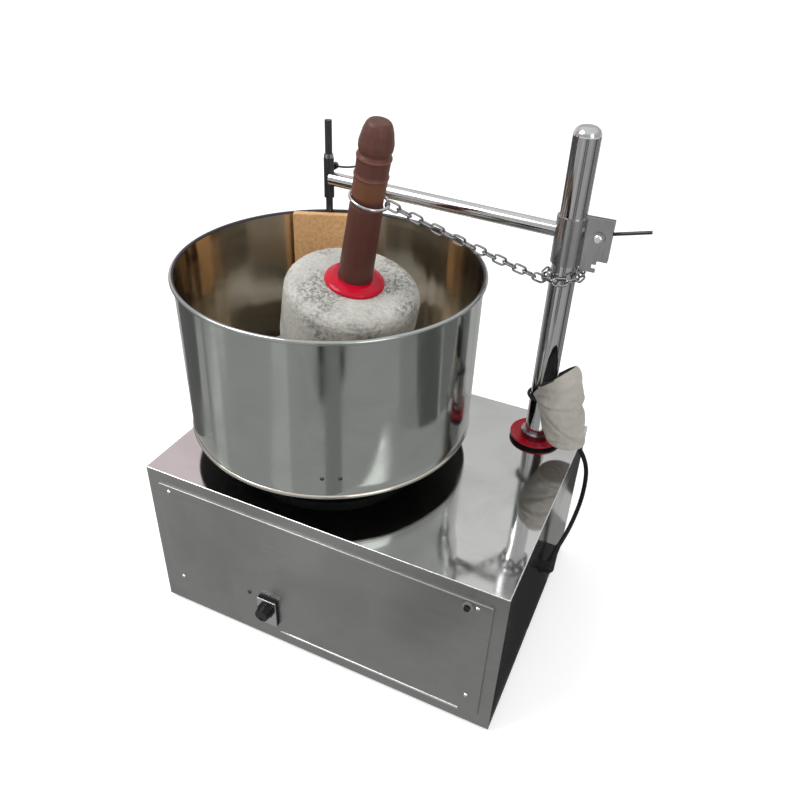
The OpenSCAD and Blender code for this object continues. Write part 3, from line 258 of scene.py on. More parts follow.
def wood_group(graph, given):
    spread = graph.add("ShaderNodeMapping", {"Vector": given["Vector"], "Scale": given["Stretch"]})
    bands = noise_of(graph, spread.outputs[0], 1.0, 5.0, 0.6, 0.8)
    closer = graph.add("ShaderNodeMapping", {"Vector": spread.outputs[0], "Scale": (6.0, 6.0, 1.5)})
    pores = noise_of(graph, closer.outputs[0], 1.0, 2.0, 0.5)
    return {"Bands": graph.ramp(bands, 0.32, 0.7), "Pores": graph.ramp(pores, 0.52, 0.75)}


def weave_group(graph, given):
    threads = []
    for direction in ("X", "Z"):
        wave = graph.add("ShaderNodeTexWave", {
            "Vector": given["Vector"], "Scale": given["Scale"], "Distortion": 1.2, "Detail": 1.0},
            bands_direction=direction)
        threads.append(wave.outputs["Fac"])
    return {"Weave": graph.math("MAXIMUM", *threads)}


def edges_group(graph, given):
    point = graph.add("ShaderNodeNewGeometry").outputs["Pointiness"]
    broken = noise_of(graph, given["Vector"], given["Scale"], 3.0, 0.6)
    edge = graph.ramp(point, 0.505, 0.545)
    return {"Worn": graph.math("MULTIPLY", edge, graph.ramp(broken, 0.3, 0.6))}


def make_groups():
    vector = ("Vector", "v", None)
    new_group("Brush lines", [vector, ("Stretch", "v", (1.0, 1.0, 1.0))], ["Lines"], lines_group)
    new_group("Smudges", [vector, ("Scale", "f", 12.0)], ["Smudge"], smudge_group)
    new_group("Sheet waves", [vector, ("Stretch", "v", (1.0, 1.0, 1.0))], ["Height"], waves_group)
    new_group("Granite", [vector, ("Scale", "f", 400.0)], ["Grain", "Chips", "Cloud"], granite_group)
    new_group("Wood grain", [vector, ("Stretch", "v", (1.0, 1.0, 1.0))], ["Bands", "Pores"], wood_group)
    new_group("Weave", [vector, ("Scale", "f", 300.0)], ["Weave"], weave_group)
    new_group("Worn edges", [vector, ("Scale", "f", 200.0)], ["Worn"], edges_group)


# Materials
def new_material(name):
    """An empty material with its graph, its Principled shader and its object coordinates."""
    finish = bpy.data.materials.new(name)
    finish.use_nodes = True
    finish.node_tree.nodes.clear()
    graph = Graph(finish.node_tree)
    shader = graph.add("ShaderNodeBsdfPrincipled")
    end = graph.add("ShaderNodeOutputMaterial")
    graph.put(end.inputs["Surface"], shader.outputs["BSDF"])
    return finish, graph, shader, graph.coords()


def shade(colour, level):
    return tuple(min(1.0, part * level) for part in colour)


# Smudges on metal: fineness, strength and shade
SMUDGE_SCALE = 11.0
SMUDGE_SHARE = 0.6
SMUDGE_SHADE = 0.80
# How much a brushed line darkens, brightens and roughens metal
LINE_DARK = 0.08
LINE_BRIGHT = 0.06
LINE_ROUGH = 0.3
# Length over which a polished tip begins
TIP_FADE = 0.5


def steel(name, colour, rough, stretch, line_depth, waves=(), smudge=0.12, anisotropic=0.0, tip=None,
          brushed=1.0):
    """Sheet or bar metal: brushed lines, smudges and the slow waves of a thin sheet.

    tip is a Y value and a colour: the metal in front of it is polished to that colour. brushed is the
    strength of the lines, which is low on polished sheet.
    """
    finish, graph, shader, at = new_material(name)
    lines = graph.group("Brush lines", Vector=at, Stretch=stretch)["Lines"]
    marks = graph.group("Smudges", Vector=at, Scale=SMUDGE_SCALE)["Smudge"]
    tone = graph.mix(
        graph.math("MULTIPLY", marks, SMUDGE_SHARE),
        graph.mix(lines, shade(colour, 1 - LINE_DARK * brushed), shade(colour, 1 + LINE_BRIGHT * brushed)),
        shade(colour, SMUDGE_SHADE))
    if tip:
        ahead = graph.add("ShaderNodeSeparateXYZ", {0: at}).outputs["Y"]
        edge, polished = tip
        tone = graph.mix(graph.ramp(ahead, edge, edge + TIP_FADE * MM, 1.0, 0.0), tone, polished)
    graph.put(shader.inputs["Base Color"], tone)
    grain = graph.ramp(
        lines, 0.0, 1.0, rough * (1 - LINE_ROUGH * brushed), rough * (1 + LINE_ROUGH * brushed))
    graph.put(shader.inputs["Roughness"], graph.math("ADD", grain, graph.math("MULTIPLY", marks, smudge)))
    normal = graph.bump(lines, line_depth)
    for wave_stretch, depth in waves:
        height = graph.group("Sheet waves", Vector=at, Stretch=wave_stretch)["Height"]
        normal = graph.bump(height, depth, normal)
    graph.put(shader.inputs["Normal"], normal)
    shader.inputs["Metallic"].default_value = 1.0
    shader.inputs["Anisotropic"].default_value = anisotropic
    return finish


def plastic(name, colour, rough, grain_scale=900.0, grain_depth=0.00003, coat=0.0, gloss=0.5):
    """Moulded plastic or rubber: fine grain, faint smudges."""
    finish, graph, shader, at = new_material(name)
    marks = graph.group("Smudges", Vector=at, Scale=40.0)["Smudge"]
    grain = noise_of(graph, at, grain_scale, 2.0)
    graph.put(shader.inputs["Base Color"], graph.mix(marks, shade(colour, 0.95), shade(colour, 1.12)))
    graph.put(shader.inputs["Roughness"], graph.ramp(marks, 0.0, 1.0, rough * 0.85, rough * 1.25))
    graph.put(shader.inputs["Normal"], graph.bump(grain, grain_depth))
    shader.inputs["Specular IOR Level"].default_value = gloss
    shader.inputs["Coat Weight"].default_value = coat
    shader.inputs["Coat Roughness"].default_value = 0.08
    return finish


# Rubbed band on a turned piece: length over which it begins, and strength
BAND_FADE = 2
BAND_SHARE = 0.55
# Painted highlight line round a bead: where it starts to fade and ends, from its middle, and strength
RING_HIGHLIGHT = (0.0003, 0.0010)
RING_HIGHLIGHT_SHARE = 0.8


def wood(name, colour, stretch, rough, contrast, coat=0.0, edge_wear_and_highlight=1.6, rings=(), band=None):
    """Wood with its fibres along Z.

    rings are the heights of the pale lines, painted highlights, round a turned piece's bead crests, and band is
    the low end, the high end and the colour of a stretch that its ring has rubbed.
    """
    finish, graph, shader, at = new_material(name)
    if rings:
        at = graph.add("ShaderNodeAttribute", attribute_name=OWN_PLACE).outputs["Vector"]
    grain = graph.group("Wood grain", Vector=at, Stretch=stretch)
    worn = graph.group("Worn edges", Vector=at, Scale=240.0)["Worn"]
    base = graph.mix(grain["Bands"], shade(colour, 1.0 - contrast), shade(colour, 1.0 + contrast))
    pored = graph.mix(graph.math("MULTIPLY", grain["Pores"], contrast * 2), base, shade(colour, 0.55))
    # Pale edges: wear, and on the handle also a painted highlight along the bead crests
    tone = graph.mix(worn, pored, shade(colour, edge_wear_and_highlight))
    up = graph.add("ShaderNodeSeparateXYZ", {0: at}).outputs["Z"]
    if band:
        low, high, rubbed = band
        above = graph.ramp(up, low, low + BAND_FADE * MM)
        below = graph.ramp(up, high - BAND_FADE * MM, high, 1.0, 0.0)
        inside = graph.math("MULTIPLY", above, below)
        tone = graph.mix(graph.math("MULTIPLY", inside, BAND_SHARE), tone, rubbed)
    # Painted highlight lines round the beads
    for height in rings:
        off = graph.math("ABSOLUTE", graph.math("SUBTRACT", up, height))
        tone = graph.mix(graph.ramp(off, *RING_HIGHLIGHT, RING_HIGHLIGHT_SHARE, 0.0), tone, shade(colour, edge_wear_and_highlight))
    graph.put(shader.inputs["Base Color"], tone)
    graph.put(shader.inputs["Roughness"], graph.ramp(grain["Pores"], 0.0, 1.0, rough, rough * 1.5))
    graph.put(shader.inputs["Normal"], graph.bump(grain["Pores"], -0.00012))
    shader.inputs["Specular IOR Level"].default_value = 0.3
    shader.inputs["Coat Weight"].default_value = coat
    shader.inputs["Coat Roughness"].default_value = 0.25
    return finish


def granite(name, colour, scale):
    """Pale granite: coloured grains, dark chips and slow clouds."""
    finish, graph, shader, at = new_material(name)
    rock = graph.group("Granite", Vector=at, Scale=scale)
    base = graph.mix(rock["Grain"], shade(colour, 0.86), shade(colour, 1.14))
    cloudy = graph.mix(graph.math("MULTIPLY", rock["Cloud"], 0.3), base, shade(colour, 0.82))
    chip = graph.math("MULTIPLY", graph.ramp(rock["Chips"], 0.0, 0.4, 1.0, 0.0),
                      graph.ramp(rock["Cloud"], 0.40, 0.80, 0.05, 0.66))
    graph.put(shader.inputs["Base Color"], graph.mix(chip, cloudy, shade(colour, 0.30)))
    graph.put(shader.inputs["Roughness"], graph.ramp(rock["Grain"], 0.0, 1.0, 0.62, 0.85))
    normal = graph.bump(graph.ramp(chip, 0.0, 0.75, 1.0, 0.0), 0.0008)
    graph.put(shader.inputs["Normal"], graph.bump(rock["Grain"], 0.0001, normal))
    return finish


def cloth(name, colour):
    """Woven cloth with a faint sheen and soft creases."""
    finish, graph, shader, at = new_material(name)
    weave = graph.group("Weave", Vector=at, Scale=420.0)["Weave"]
    marks = graph.group("Smudges", Vector=at, Scale=26.0)["Smudge"]
    crease = noise_of(graph, at, 70.0, 3.0, 0.55, 1.2)
    graph.put(shader.inputs["Base Color"], graph.mix(
        graph.math("MULTIPLY", marks, 0.6), graph.mix(weave, shade(colour, 0.82), shade(colour, 1.12)),
        shade(colour, 0.72)))
    graph.put(shader.inputs["Roughness"], graph.ramp(weave, 0.0, 1.0, 0.75, 0.6))
    normal = graph.bump(crease, 0.0022)
    graph.put(shader.inputs["Normal"], graph.bump(weave, 0.00018, normal))
    shader.inputs["Sheen Weight"].default_value = 0.25
    shader.inputs["Sheen Roughness"].default_value = 0.4
    return finish


# Length of the clamp screw's polished tip
SCREW_TIP = 3


def make_materials():
    """All finishes, by the record's slot names, with a few more for single nodes."""
    c = colours()
    round_sheet = (((26.0, 26.0, 1.2), 0.0022), ((9.0, 9.0, 2.0), 0.004))
    flat_sheet = (((7.0, 5.0, 5.0), 0.0022),)
    rubbed_band = ((NECK_UP + RUBBED_UP) * MM, (NECK_UP + BEADS_UP[0]) * MM, (0.17, 0.065, 0.026))
    return {
        "mirror_steel": steel("Mirror steel", c.mirror, 0.09, (60.0, 60.0, 900.0), 0.000004, flat_sheet),
        # Drum's outside: the green in its colour is a painted reflection
        "drum_steel": steel("Drum steel", c.drum, 0.10, (2.0, 2.0, 1400.0), 0.000004, round_sheet,
                            anisotropic=0.45, brushed=0.4),
        # Deck: a lighter copy of the mirror steel, which paints brighter reflections on it
        "deck_steel": steel("Deck steel", shade(c.mirror, 1.25), 0.05, (700.0, 14.0, 60.0), 0.000001,
                            (((9.0, 4.0, 4.0), 0.0020), ((22.0, 9.0, 9.0), 0.0004)), brushed=0.1),
        "satin_steel": steel("Satin steel", c.satin, 0.36, (8.0, 60.0, 1100.0), 0.00002,
                             (((5.0, 5.0, 4.0), 0.0010),), smudge=0.06),
        "bright_chrome": steel("Bright chrome", c.chrome, 0.08, (300.0, 300.0, 12.0), 0.000004, smudge=0.08),
        "plain_steel": steel("Plain steel", c.plain, 0.34, (40.0, 200.0, 700.0), 0.00002),
        "clamp_steel": steel("Clamp steel", shade(c.chrome, 0.70), 0.20, (300.0, 300.0, 20.0), 0.00001,
                             (((30.0, 30.0, 20.0), 0.0016),)),
        "screw_steel": steel("Clamp screw steel", c.dark, 0.20, (300.0, 300.0, 60.0), 0.00001,
                             tip=(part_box("clamp_screw")[0].y + SCREW_TIP * MM, (0.9, 0.9, 0.9))),
        # Drum's inside in the warm inner colour, a painted reflection of the board
        "inner_steel": steel("Inner drum steel", c.inner, 0.13, (2.0, 2.0, 1400.0), 0.000006, round_sheet),
        "dark_steel": steel("Dark steel", c.dark, 0.38, (300.0, 300.0, 60.0), 0.00003),
        # Chain and lock ring: a darker copy of chrome, which paints the dark reflections they show
        "chain_steel": steel("Chain steel", shade(c.chrome, 0.5), 0.16, (300.0, 300.0, 300.0), 0.00001),
        "plate_steel": steel("Plate steel", shade(c.chrome, 0.9), 0.26, (40.0, 200.0, 700.0), 0.00001),
        # Bead on the panel: a lighter copy of chrome, a painted highlight along it
        "bead_painted_highlight": steel("Bead steel", shade(c.chrome, 1.1), 0.28, (300.0, 300.0, 300.0), 0.00001),
        # Pale finish of the deck's rounded edge: a painted highlight
        "deck_edge_painted_highlight": steel("Bright edge", (0.86, 0.86, 0.86), 0.22, (300.0, 300.0, 300.0), 0.00001),
        "cast_iron": steel("Cast iron", (0.09, 0.09, 0.09), 0.62, (220.0, 220.0, 220.0), 0.0002),
        "motor_paint": plastic("Motor paint", (0.05, 0.07, 0.10), 0.42, 260.0, 0.0001, coat=0.2),
        "copper_winding": steel("Copper winding", (0.55, 0.24, 0.12), 0.4, (30.0, 30.0, 1400.0), 0.0003),
        "black_rubber": plastic("Black rubber", shade(c.black, 0.6), 0.62, 700.0, 0.00006, gloss=0.25),
        "black_plastic": plastic("Black plastic", shade(c.black, 0.6), 0.30, coat=0.06, gloss=0.25),
        "grey_plastic": plastic("Grey plastic", (0.16, 0.16, 0.16), 0.5),
        "red_plastic": plastic("Red plastic", c.red, 0.22, 500.0, 0.00002, coat=0.08, gloss=0.2),
        "red_lens": plastic("Red lens", (0.035, 0.004, 0.003), 0.2, 400.0, 0.00002, coat=0.3),
        "dark_wood": wood("Handle wood", c.handle, (70.0, 70.0, 5.0), 0.45, 0.10, coat=0.08, edge_wear_and_highlight=2.6,
                          rings=[(NECK_UP + up) * MM for up in BEADS_UP],
                          band=rubbed_band),
        "pale_wood": wood("Board wood", c.board, (30.0, 30.0, 3.0), 0.62, 0.09, edge_wear_and_highlight=1.35),
        "granite": granite("Granite", c.stone, 430.0),
        "pouch_cloth": cloth("Pouch cloth", c.cloth),
        # Black for the tie and the mouth's rim, and painted shade inside the mouth
        "black_tie_hem_and_painted_shade": plastic("Dark hem", (0.02, 0.02, 0.02), 0.75, 600.0, 0.0001),
        # Black painted shade: the drum's underside and the flange's low outer wall
        "painted_shade_black": plastic("Black underside", (0.006, 0.006, 0.006), 0.55, 500.0, 0.00005),
    }


FINISH = {}


def dress(thing, *slots):
    """Gives an object these finishes in place of those it has; its faces get the first."""
    thing.data.materials.clear()
    for slot in slots:
        thing.data.materials.append(FINISH[slot])


# Geometry
def link(name, data):
    thing = bpy.data.objects.new(name, data)
    bpy.context.scene.collection.objects.link(thing)
    return thing


def solid(name, shape, matrix=None, sharp=40.0):
    """An object from a bmesh that is moved by matrix, smooth apart from its sharp edges."""
    bmesh.ops.recalc_face_normals(shape, faces=shape.faces)
    if matrix is not None:
        own = shape.verts.layers.float_vector.new(OWN_PLACE)
        for corner in shape.verts:
            corner[own] = corner.co
        bmesh.ops.transform(shape, matrix=matrix, verts=shape.verts)
    mesh = bpy.data.meshes.new(name)
    shape.to_mesh(mesh)
    shape.free()
    mesh.shade_smooth()
    mesh.set_sharp_from_angle(angle=math.radians(sharp))
    return link(name, mesh)


def ring_faces(shape, low, high):
    """Joins two rings of corners; a ring of one corner is a pole."""
    count = max(len(low), len(high))
    made = []
    for i in range(count):
        j = (i + 1) % count
        corners = [low[i % len(low)], low[j % len(low)], high[j % len(high)], high[i % len(high)]]
        corners = list(dict.fromkeys(corners))
        if len(corners) > 2:
            made.append(shape.faces.new(corners))
    return made


# Radius under which a ring is one corner
POLE_R = 1e-7


def turned(outline, steps, closed=False, warp=None):
    """A bmesh turned about Z from (radius, height) pairs; warp moves each corner."""
    shape = bmesh.new()
    rings = []
    for radius, height in outline:
        count = 1 if radius < POLE_R else steps
        ring = []
        for i in range(count):
            turn = math.tau * i / steps
            corner = Vector((radius * math.cos(turn), radius * math.sin(turn), height))
            ring.append(shape.verts.new(warp(corner) if warp else corner))
        rings.append(ring)
    pairs = list(zip(rings, rings[1:]))
    if closed:
        pairs.append((rings[-1], rings[0]))
    for low, high in pairs:
        ring_faces(shape, low, high)
    return shape


def rounded(points, radius, steps=4):
    """A line of (radius, height) points with its inner corners rounded."""
    line = [Vector(points[0])]
    for before, at, after in zip(points, points[1:], points[2:]):
        at = Vector(at)
        to_before = Vector(before) - at
        to_after = Vector(after) - at
        reach = min(radius, to_before.length * 0.45, to_after.length * 0.45)
        start = at + to_before.normalized() * reach
        end = at + to_after.normalized() * reach
        for i in range(steps + 1):
            t = i / steps
            line.append(start * (1 - t) ** 2 + at * 2 * t * (1 - t) + end * t ** 2)
    line.append(Vector(points[-1]))
    return [(p.x, p.y) for p in line]


def fine(outline, longest):
    """The same line with no step longer than longest."""
    line = [outline[0]]
    for a, b in zip(outline, outline[1:]):
        count = max(1, math.ceil(math.dist(a, b) / longest))
        line.extend((a[0] + (b[0] - a[0]) * i / count, a[1] + (b[1] - a[1]) * i / count)
                    for i in range(1, count + 1))
    return line


def arc(x, y, r, start, end, steps):
    """Points on an arc about (x, y) between two angles in degrees."""
    turns = [math.radians(start + (end - start) * i / steps) for i in range(steps + 1)]
    return [(x + r * math.cos(turn), y + r * math.sin(turn)) for turn in turns]


def scaled(points):
    """Points in millimetres, turned into metres."""
    return [(x * MM, y * MM) for x, y in points]


# Distance under which corners are welded, least angle of an edge in degrees, and steps across it
WELD_REACH = 0.000002
EDGE_ANGLE = 50
EDGE_STEPS = 2


def soften_edges(thing, width, edge_slot):
    """Rounds a CAD node's edges by modifiers, without touching its mesh; edge_slot may finish them."""
    weld = thing.modifiers.new("weld", "WELD")
    weld.merge_threshold = WELD_REACH
    bevel = thing.modifiers.new("edge", "BEVEL")
    bevel.width = width
    bevel.segments = EDGE_STEPS
    bevel.limit_method = "ANGLE"
    bevel.angle_limit = math.radians(EDGE_ANGLE)
    bevel.harden_normals = True
    if edge_slot:
        thing.data.materials.append(FINISH[edge_slot])
        bevel.material = 1


def smooth_path(points, steps):
    """A curve through the points, as the CAD model has it."""
    line = []
    last = len(points) - 1
    for i in range(last):
        a, b = points[max(i - 1, 0)], points[i]
        c, d = points[i + 1], points[min(i + 2, last)]
        for s in range(steps):
            t = s / steps
            line.append(0.5 * (2 * b + (c - a) * t + (2 * a - 5 * b + 4 * c - d) * t ** 2
                               + (3 * b - a - 3 * c + d) * t ** 3))
    line.append(points[last])
    return line


# Camera, fitted to the photo: focal length and frame in pixels, angles in radians, and place in
# millimetres from the cabinet's centre and bottom
CAMERA_FOCUS_PX = 743.494632
FRAME_PX = 800
CAMERA_TURN = 0.409624389
CAMERA_TILT = 0.597322033
CAMERA_ROLL = 0.0453150876
CAMERA_AT = (323.779623, -684.5044, 810.726802)


class GRINDER_OT_camera(bpy.types.Operator):
    """Set the camera at the photographed angle"""

    bl_idname = "grinder.camera"
    bl_label = "Camera"

    def execute(self, context):
        flat = math.cos(CAMERA_TILT)
        back = Vector((math.sin(CAMERA_TURN) * flat, -math.cos(CAMERA_TURN) * flat, math.sin(CAMERA_TILT)))
        right = (-back).cross(Vector((0, 0, 1))).normalized()
        up = back.cross(right)
        rolled_right = math.cos(CAMERA_ROLL) * right + math.sin(CAMERA_ROLL) * up
        rolled_up = math.cos(CAMERA_ROLL) * up - math.sin(CAMERA_ROLL) * right
        lens = bpy.data.cameras.new("view")
        lens.lens = CAMERA_FOCUS_PX * lens.sensor_width / FRAME_PX
        camera = link("view", lens)
        matrix = Matrix((rolled_right, rolled_up, back)).transposed().to_4x4()
        matrix.translation = from_cabinet(*CAMERA_AT)
        camera.matrix_world = matrix
        context.scene.camera = camera
        return {"FINISHED"}


# Cord: stops of its route in millimetres from the cabinet's centre and bottom
CORD_ROUTE = ((243, 55, 113), (248, 80, 126), (252, 95, 160), (251, 93, 205), (243, 86, 236))
CORD_STEPS = 8
# How far the gland's tip is from the side, and the pouch's bottom to the right and front of the post
GLAND_OUT = 9
POUCH_RIGHT = 43
POUCH_FRONT = 25
GLAND_TIP = Vector((CABINET_HIGH.x + GLAND_OUT * MM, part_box("cord_gland")[1].y, middle("cord_gland").z))
POUCH_AT = Vector((POST.x + POUCH_RIGHT * MM, POST.y - POUCH_FRONT * MM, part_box("plug_pouch")[0].z))
# Straight lead out of the gland, and the cord's end from the pouch's bottom
CORD_LEAD = Vector((0, 12, 0)) * MM
CORD_END = Vector((14, -8, 4)) * MM


class GRINDER_OT_cord(bpy.types.Operator):
    """Lay the mains cord from the gland to the pouch"""

    bl_idname = "grinder.cord"
    bl_label = "Mains cord"

    def execute(self, context):
        stops = [GLAND_TIP, GLAND_TIP + CORD_LEAD]
        stops += [from_cabinet(*p) for p in CORD_ROUTE] + [POUCH_AT + CORD_END]
        line = smooth_path(stops, CORD_STEPS)
        curve = bpy.data.curves.new("mains_cord", "CURVE")
        curve.dimensions = "3D"
        curve.bevel_depth = sizes().cord_d / 2
        curve.bevel_resolution = 6
        curve.use_fill_caps = True
        spline = curve.splines.new("POLY")
        spline.points.add(len(line) - 1)
        for point, at in zip(spline.points, line):
            point.co = (*at, 1.0)
        cord = link("mains_cord", curve)
        dress(cord, "black_rubber")
        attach(cord, "cabinet")
        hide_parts("power_cord")
        return {"FINISHED"}


# Pouch: faces round it, steps from ring to ring, and direction that its mouth faces
POUCH_STEPS = 80
POUCH_RING_STEPS = 7
POUCH_FACING = math.radians(163)
# Height, shift to the right, shift to the back, radius and tilt of the pouch's rings
POUCH_RINGS = (
    (0, 0, 0, 22, 0), (1, 0, 0, 24.4, 0), (4.5, -1, 0, 25.6, 0), (8, -2, 0, 25.2, 0), (24, -7, 0, 26.4, 0),
    (40, -12, 0, 27.8, 0), (56, -16.5, 0, 28.4, 5), (68, -18, 0.5, 28.2, 20), (78, -20.5, 1, 27.6, 34),
    (84, -24, 1.5, 27.0, 42), (86, -25, 2, 25.5, 45),
)
# Inward share and drop of the rings inside its mouth
POUCH_MOUTH = ((0.96, 0.2), (0.90, 1.5), (0.84, 7.0), (0.45, 10.0))
# Height, slope, depth and width of its long creases
CREASES = ((54.0, -0.10, 2.8, 1.6), (23.0, -0.66, 2.0, 2.2), (8.0, 0.15, 1.2, 1.6))
# Height from which the mouth's rim is black, and how far round from its low side
HEM_UP = 84.6
HEM_SPREAD = -0.45
# Share, width and distance of the swell beside a crease
SWELL_SHARE = 0.45
SWELL_WIDTH = 2.2
SWELL_OFF = 1.3
# Soft folds: fineness, share of the set depth, and height over which they begin
FOLD_SCALE = 0.045
FOLD_SHARE = 1.2
FOLD_FROM = 8
# Ripples: turn per millimetre of height, how far and how finely they wander, and share of the set depth
RIPPLE_TURN = 0.34
RIPPLE_WANDER = 5.0
RIPPLE_SCALE = 1.4
RIPPLE_SHARE = 0.45
# Gap that the cloth keeps to the post
POST_GAP = 0.6


def pouch_point(ring, turn):
    """A point on the pouch: round rings that lean to its mouth, with folds and long creases."""
    height, right, behind, radius, tilt = ring
    tilt = math.radians(tilt)
    down = Vector((
        math.cos(tilt) * math.cos(POUCH_FACING), math.cos(tilt) * math.sin(POUCH_FACING), -math.sin(tilt)))
    side = Vector((-math.sin(POUCH_FACING), math.cos(POUCH_FACING), 0))
    out = down * math.cos(turn) + side * math.sin(turn)
    spot = Vector((right, behind, height)) + out * radius
    sample = spot * FOLD_SCALE
    fold = noise.fractal(sample, 1.0, 2.0, 3) * FOLD_SHARE
    wander = RIPPLE_WANDER * noise.noise(sample * RIPPLE_SCALE)
    ripple = math.sin(height * RIPPLE_TURN + wander) * RIPPLE_SHARE
    crease = 0.0
    for up, slope, depth, width in CREASES:
        off = (height - up - slope * spot.x) / width
        swell = SWELL_SHARE * math.exp(-(off / SWELL_WIDTH - SWELL_OFF) ** 2)
        crease += depth * (swell - math.exp(-off ** 2))
    push = (fold + ripple) * sizes().pouch_fold / MM + crease
    spot += out * push * min(1.0, height / FOLD_FROM)
    place = POUCH_AT + spot * MM
    away = Vector((place.x - POST.x, place.y - POST.y, 0))
    clear = POST_R + POST_GAP * MM
    if away.length < clear:
        place += away.normalized() * (clear - away.length)
    return place


class GRINDER_OT_pouch(bpy.types.Operator):
    """Make the creased cloth pouch that holds the plug"""

    bl_idname = "grinder.pouch"
    bl_label = "Pouch"

    def execute(self, context):
        shape = bmesh.new()
        rings = [[shape.verts.new(POUCH_AT)]]
        stops = smooth_path([Vector(stop) for stop in POUCH_RINGS], POUCH_RING_STEPS)
        for ring in stops:
            rings.append([shape.verts.new(pouch_point(ring, math.tau * i / POUCH_STEPS))
                          for i in range(POUCH_STEPS)])
        lip = rings[-1]
        centre = sum((corner.co for corner in lip), Vector()) / len(lip)
        tilt = math.radians(POUCH_RINGS[-1][-1])
        inward = -Vector((math.sin(tilt) * math.cos(POUCH_FACING), math.sin(tilt) * math.sin(POUCH_FACING),
                          math.cos(tilt)))
        for share, drop in POUCH_MOUTH:
            rings.append([shape.verts.new(centre + (corner.co - centre) * share + inward * drop * MM)
                          for corner in lip])
        rings.append([shape.verts.new(centre + inward * POUCH_MOUTH[-1][1] * MM)])
        dark = []
        for k, (low, high) in enumerate(zip(rings, rings[1:])):
            # Faces inside the mouth are black: painted shade
            inside = k >= len(stops)
            hemmed = 0 < k < len(stops) and stops[k - 1][0] > HEM_UP
            for i in range(len(ring_faces(shape, low, high))):
                low_side = math.cos(math.tau * (i + 0.5) / POUCH_STEPS) > HEM_SPREAD
                dark.append(inside or hemmed and low_side)
        pouch = solid("cloth_pouch", shape, sharp=70)
        dress(pouch, "pouch_cloth", "black_tie_hem_and_painted_shade")
        for face, is_dark in zip(pouch.data.polygons, dark):
            face.material_index = int(is_dark)
        smooth = pouch.modifiers.new("soft", "SUBSURF")
        smooth.levels = smooth.render_levels = 1
        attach(pouch, "cabinet")
        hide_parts("plug_pouch")
        return {"FINISHED"}


# Front panel: rounding of its edge, step along that rounding in degrees, and radius of its corners
PANEL_ROUND = 1.4
PANEL_ROUND_STEP = 10
PANEL_CORNER = 3.0
# Bead along its bottom edge: height, gap to the switch on its left, distance from the right end, radii,
# steps along and round it, and how far in front of the panel its brighter finish, a painted highlight, begins
BEAD_UP = 2.2
BEAD_GAP = 2
BEAD_IN = 24.0
BEAD_R = (1.3, 1.9)
BEAD_STEPS = 24
BEAD_SIDES = 12
BEAD_FRONT = 0.02


def rounded_rectangle(low, high, corner, inset, steps=6):
    """Corners of a rectangle with round corners in X and Z, moved inward by inset."""
    radius = max(corner - inset, 0.2 * MM)
    line = []
    for x, z, start in ((high.x, low.z, -90), (high.x, high.z, 0), (low.x, high.z, 90), (low.x, low.z, 180)):
        centre_x = x - math.copysign(inset + radius, x - (low.x + high.x) / 2)
        centre_z = z - math.copysign(inset + radius, z - (low.z + high.z) / 2)
        line += arc(centre_x, centre_z, radius, start, start + 90, steps)
    return line


class GRINDER_OT_panel(bpy.types.Operator):
    """Press the raised front panel with its rolled edge and its bottom bead"""

    bl_idname = "grinder.panel"
    bl_label = "Front panel"

    def execute(self, context):
        low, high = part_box("access_panel")
        shape = bmesh.new()
        roll = PANEL_ROUND * MM
        sections = [(0.0, high.y)] + [
            (roll * (1 - math.cos(math.radians(a))), low.y + roll * (1 - math.sin(math.radians(a))))
            for a in range(0, 91, PANEL_ROUND_STEP)]
        rings = []
        for inset, y in sections:
            line = rounded_rectangle(low, high, PANEL_CORNER * MM, inset)
            rings.append([shape.verts.new((x, y, z)) for x, z in line])
        for back, front in zip(rings, rings[1:]):
            ring_faces(shape, back, front)
        shape.faces.new(rings[0])
        shape.faces.new(rings[-1])
        bead = []
        bead_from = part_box("switch_gasket")[1].x + BEAD_GAP * MM
        for k in range(BEAD_STEPS + 1):
            share = k / BEAD_STEPS
            radius = BEAD_R[0] + (BEAD_R[1] - BEAD_R[0]) * share
            x = bead_from + (high.x - BEAD_IN * MM - bead_from) * share
            bead.append([shape.verts.new((x, low.y - out * MM, low.z + (BEAD_UP + up) * MM))
                         for out, up in arc(0, 0, radius, -90, 90, BEAD_SIDES)])
        for left, right in zip(bead, bead[1:]):
            ring_faces(shape, left, right)
        shape.faces.new(bead[0])
        shape.faces.new(bead[-1])
        panel = solid("front_panel", shape)
        dress(panel, "satin_steel", "bead_painted_highlight")
        # Faces of the bead get the lighter finish: a painted highlight
        for face in panel.data.polygons:
            if face.center.y < low.y - BEAD_FRONT * MM:
                face.material_index = 1
        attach(panel, "cabinet")
        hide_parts("access_panel")
        return {"FINISHED"}


# Drum: radius at the bottom, sheet, roll of the rim and inner corner
DRUM_BOTTOM_R = 174.5
DRUM_WALL = 1.2
DRUM_ROLL = 2.6
DRUM_CORNER = 8.0
# Radius of the bottom bead, how far it stands out, and where the straight wall starts above it
DRUM_BEAD = 3.0
DRUM_BEAD_OUT = 1.2
DRUM_BEAD_TOP = 6.5
# Gap from the straight wall to the roll, rings across the bottom, and longest step along the outline
DRUM_ROLL_GAP = 0.5
DRUM_UNDER_R = (0, 60, 120)
DRUM_STEP = 12.0
# Drum finishes: outside, underside in black painted shade, inside, and the roll's inner side in dark painted shade
DRUM_FINISHES = ("drum_steel", "painted_shade_black", "inner_steel", "dark_steel")
OUTSIDE, UNDERSIDE, INSIDE, SHADED_INNER_ROLL = range(len(DRUM_FINISHES))


def drum_finish(face, height):
    """Which of the drum's finishes a face has, on a drum of this height in millimetres."""
    spot = face.center - DRUM_AXIS
    # Underside: black painted shade
    if face.normal.z < -0.9 and spot.z < 0.3 * MM:
        return UNDERSIDE
    if face.normal.z > -0.5 and face.normal.dot(spot.xy.to_3d()) < -0.02:
        # Inner side of the rim's roll: dark painted shade
        return SHADED_INNER_ROLL if spot.z > (height - 2 * DRUM_ROLL) * MM else INSIDE
    if face.normal.z > 0.3 and spot.z < DRUM_CORNER * MM:
        return INSIDE
    return OUTSIDE


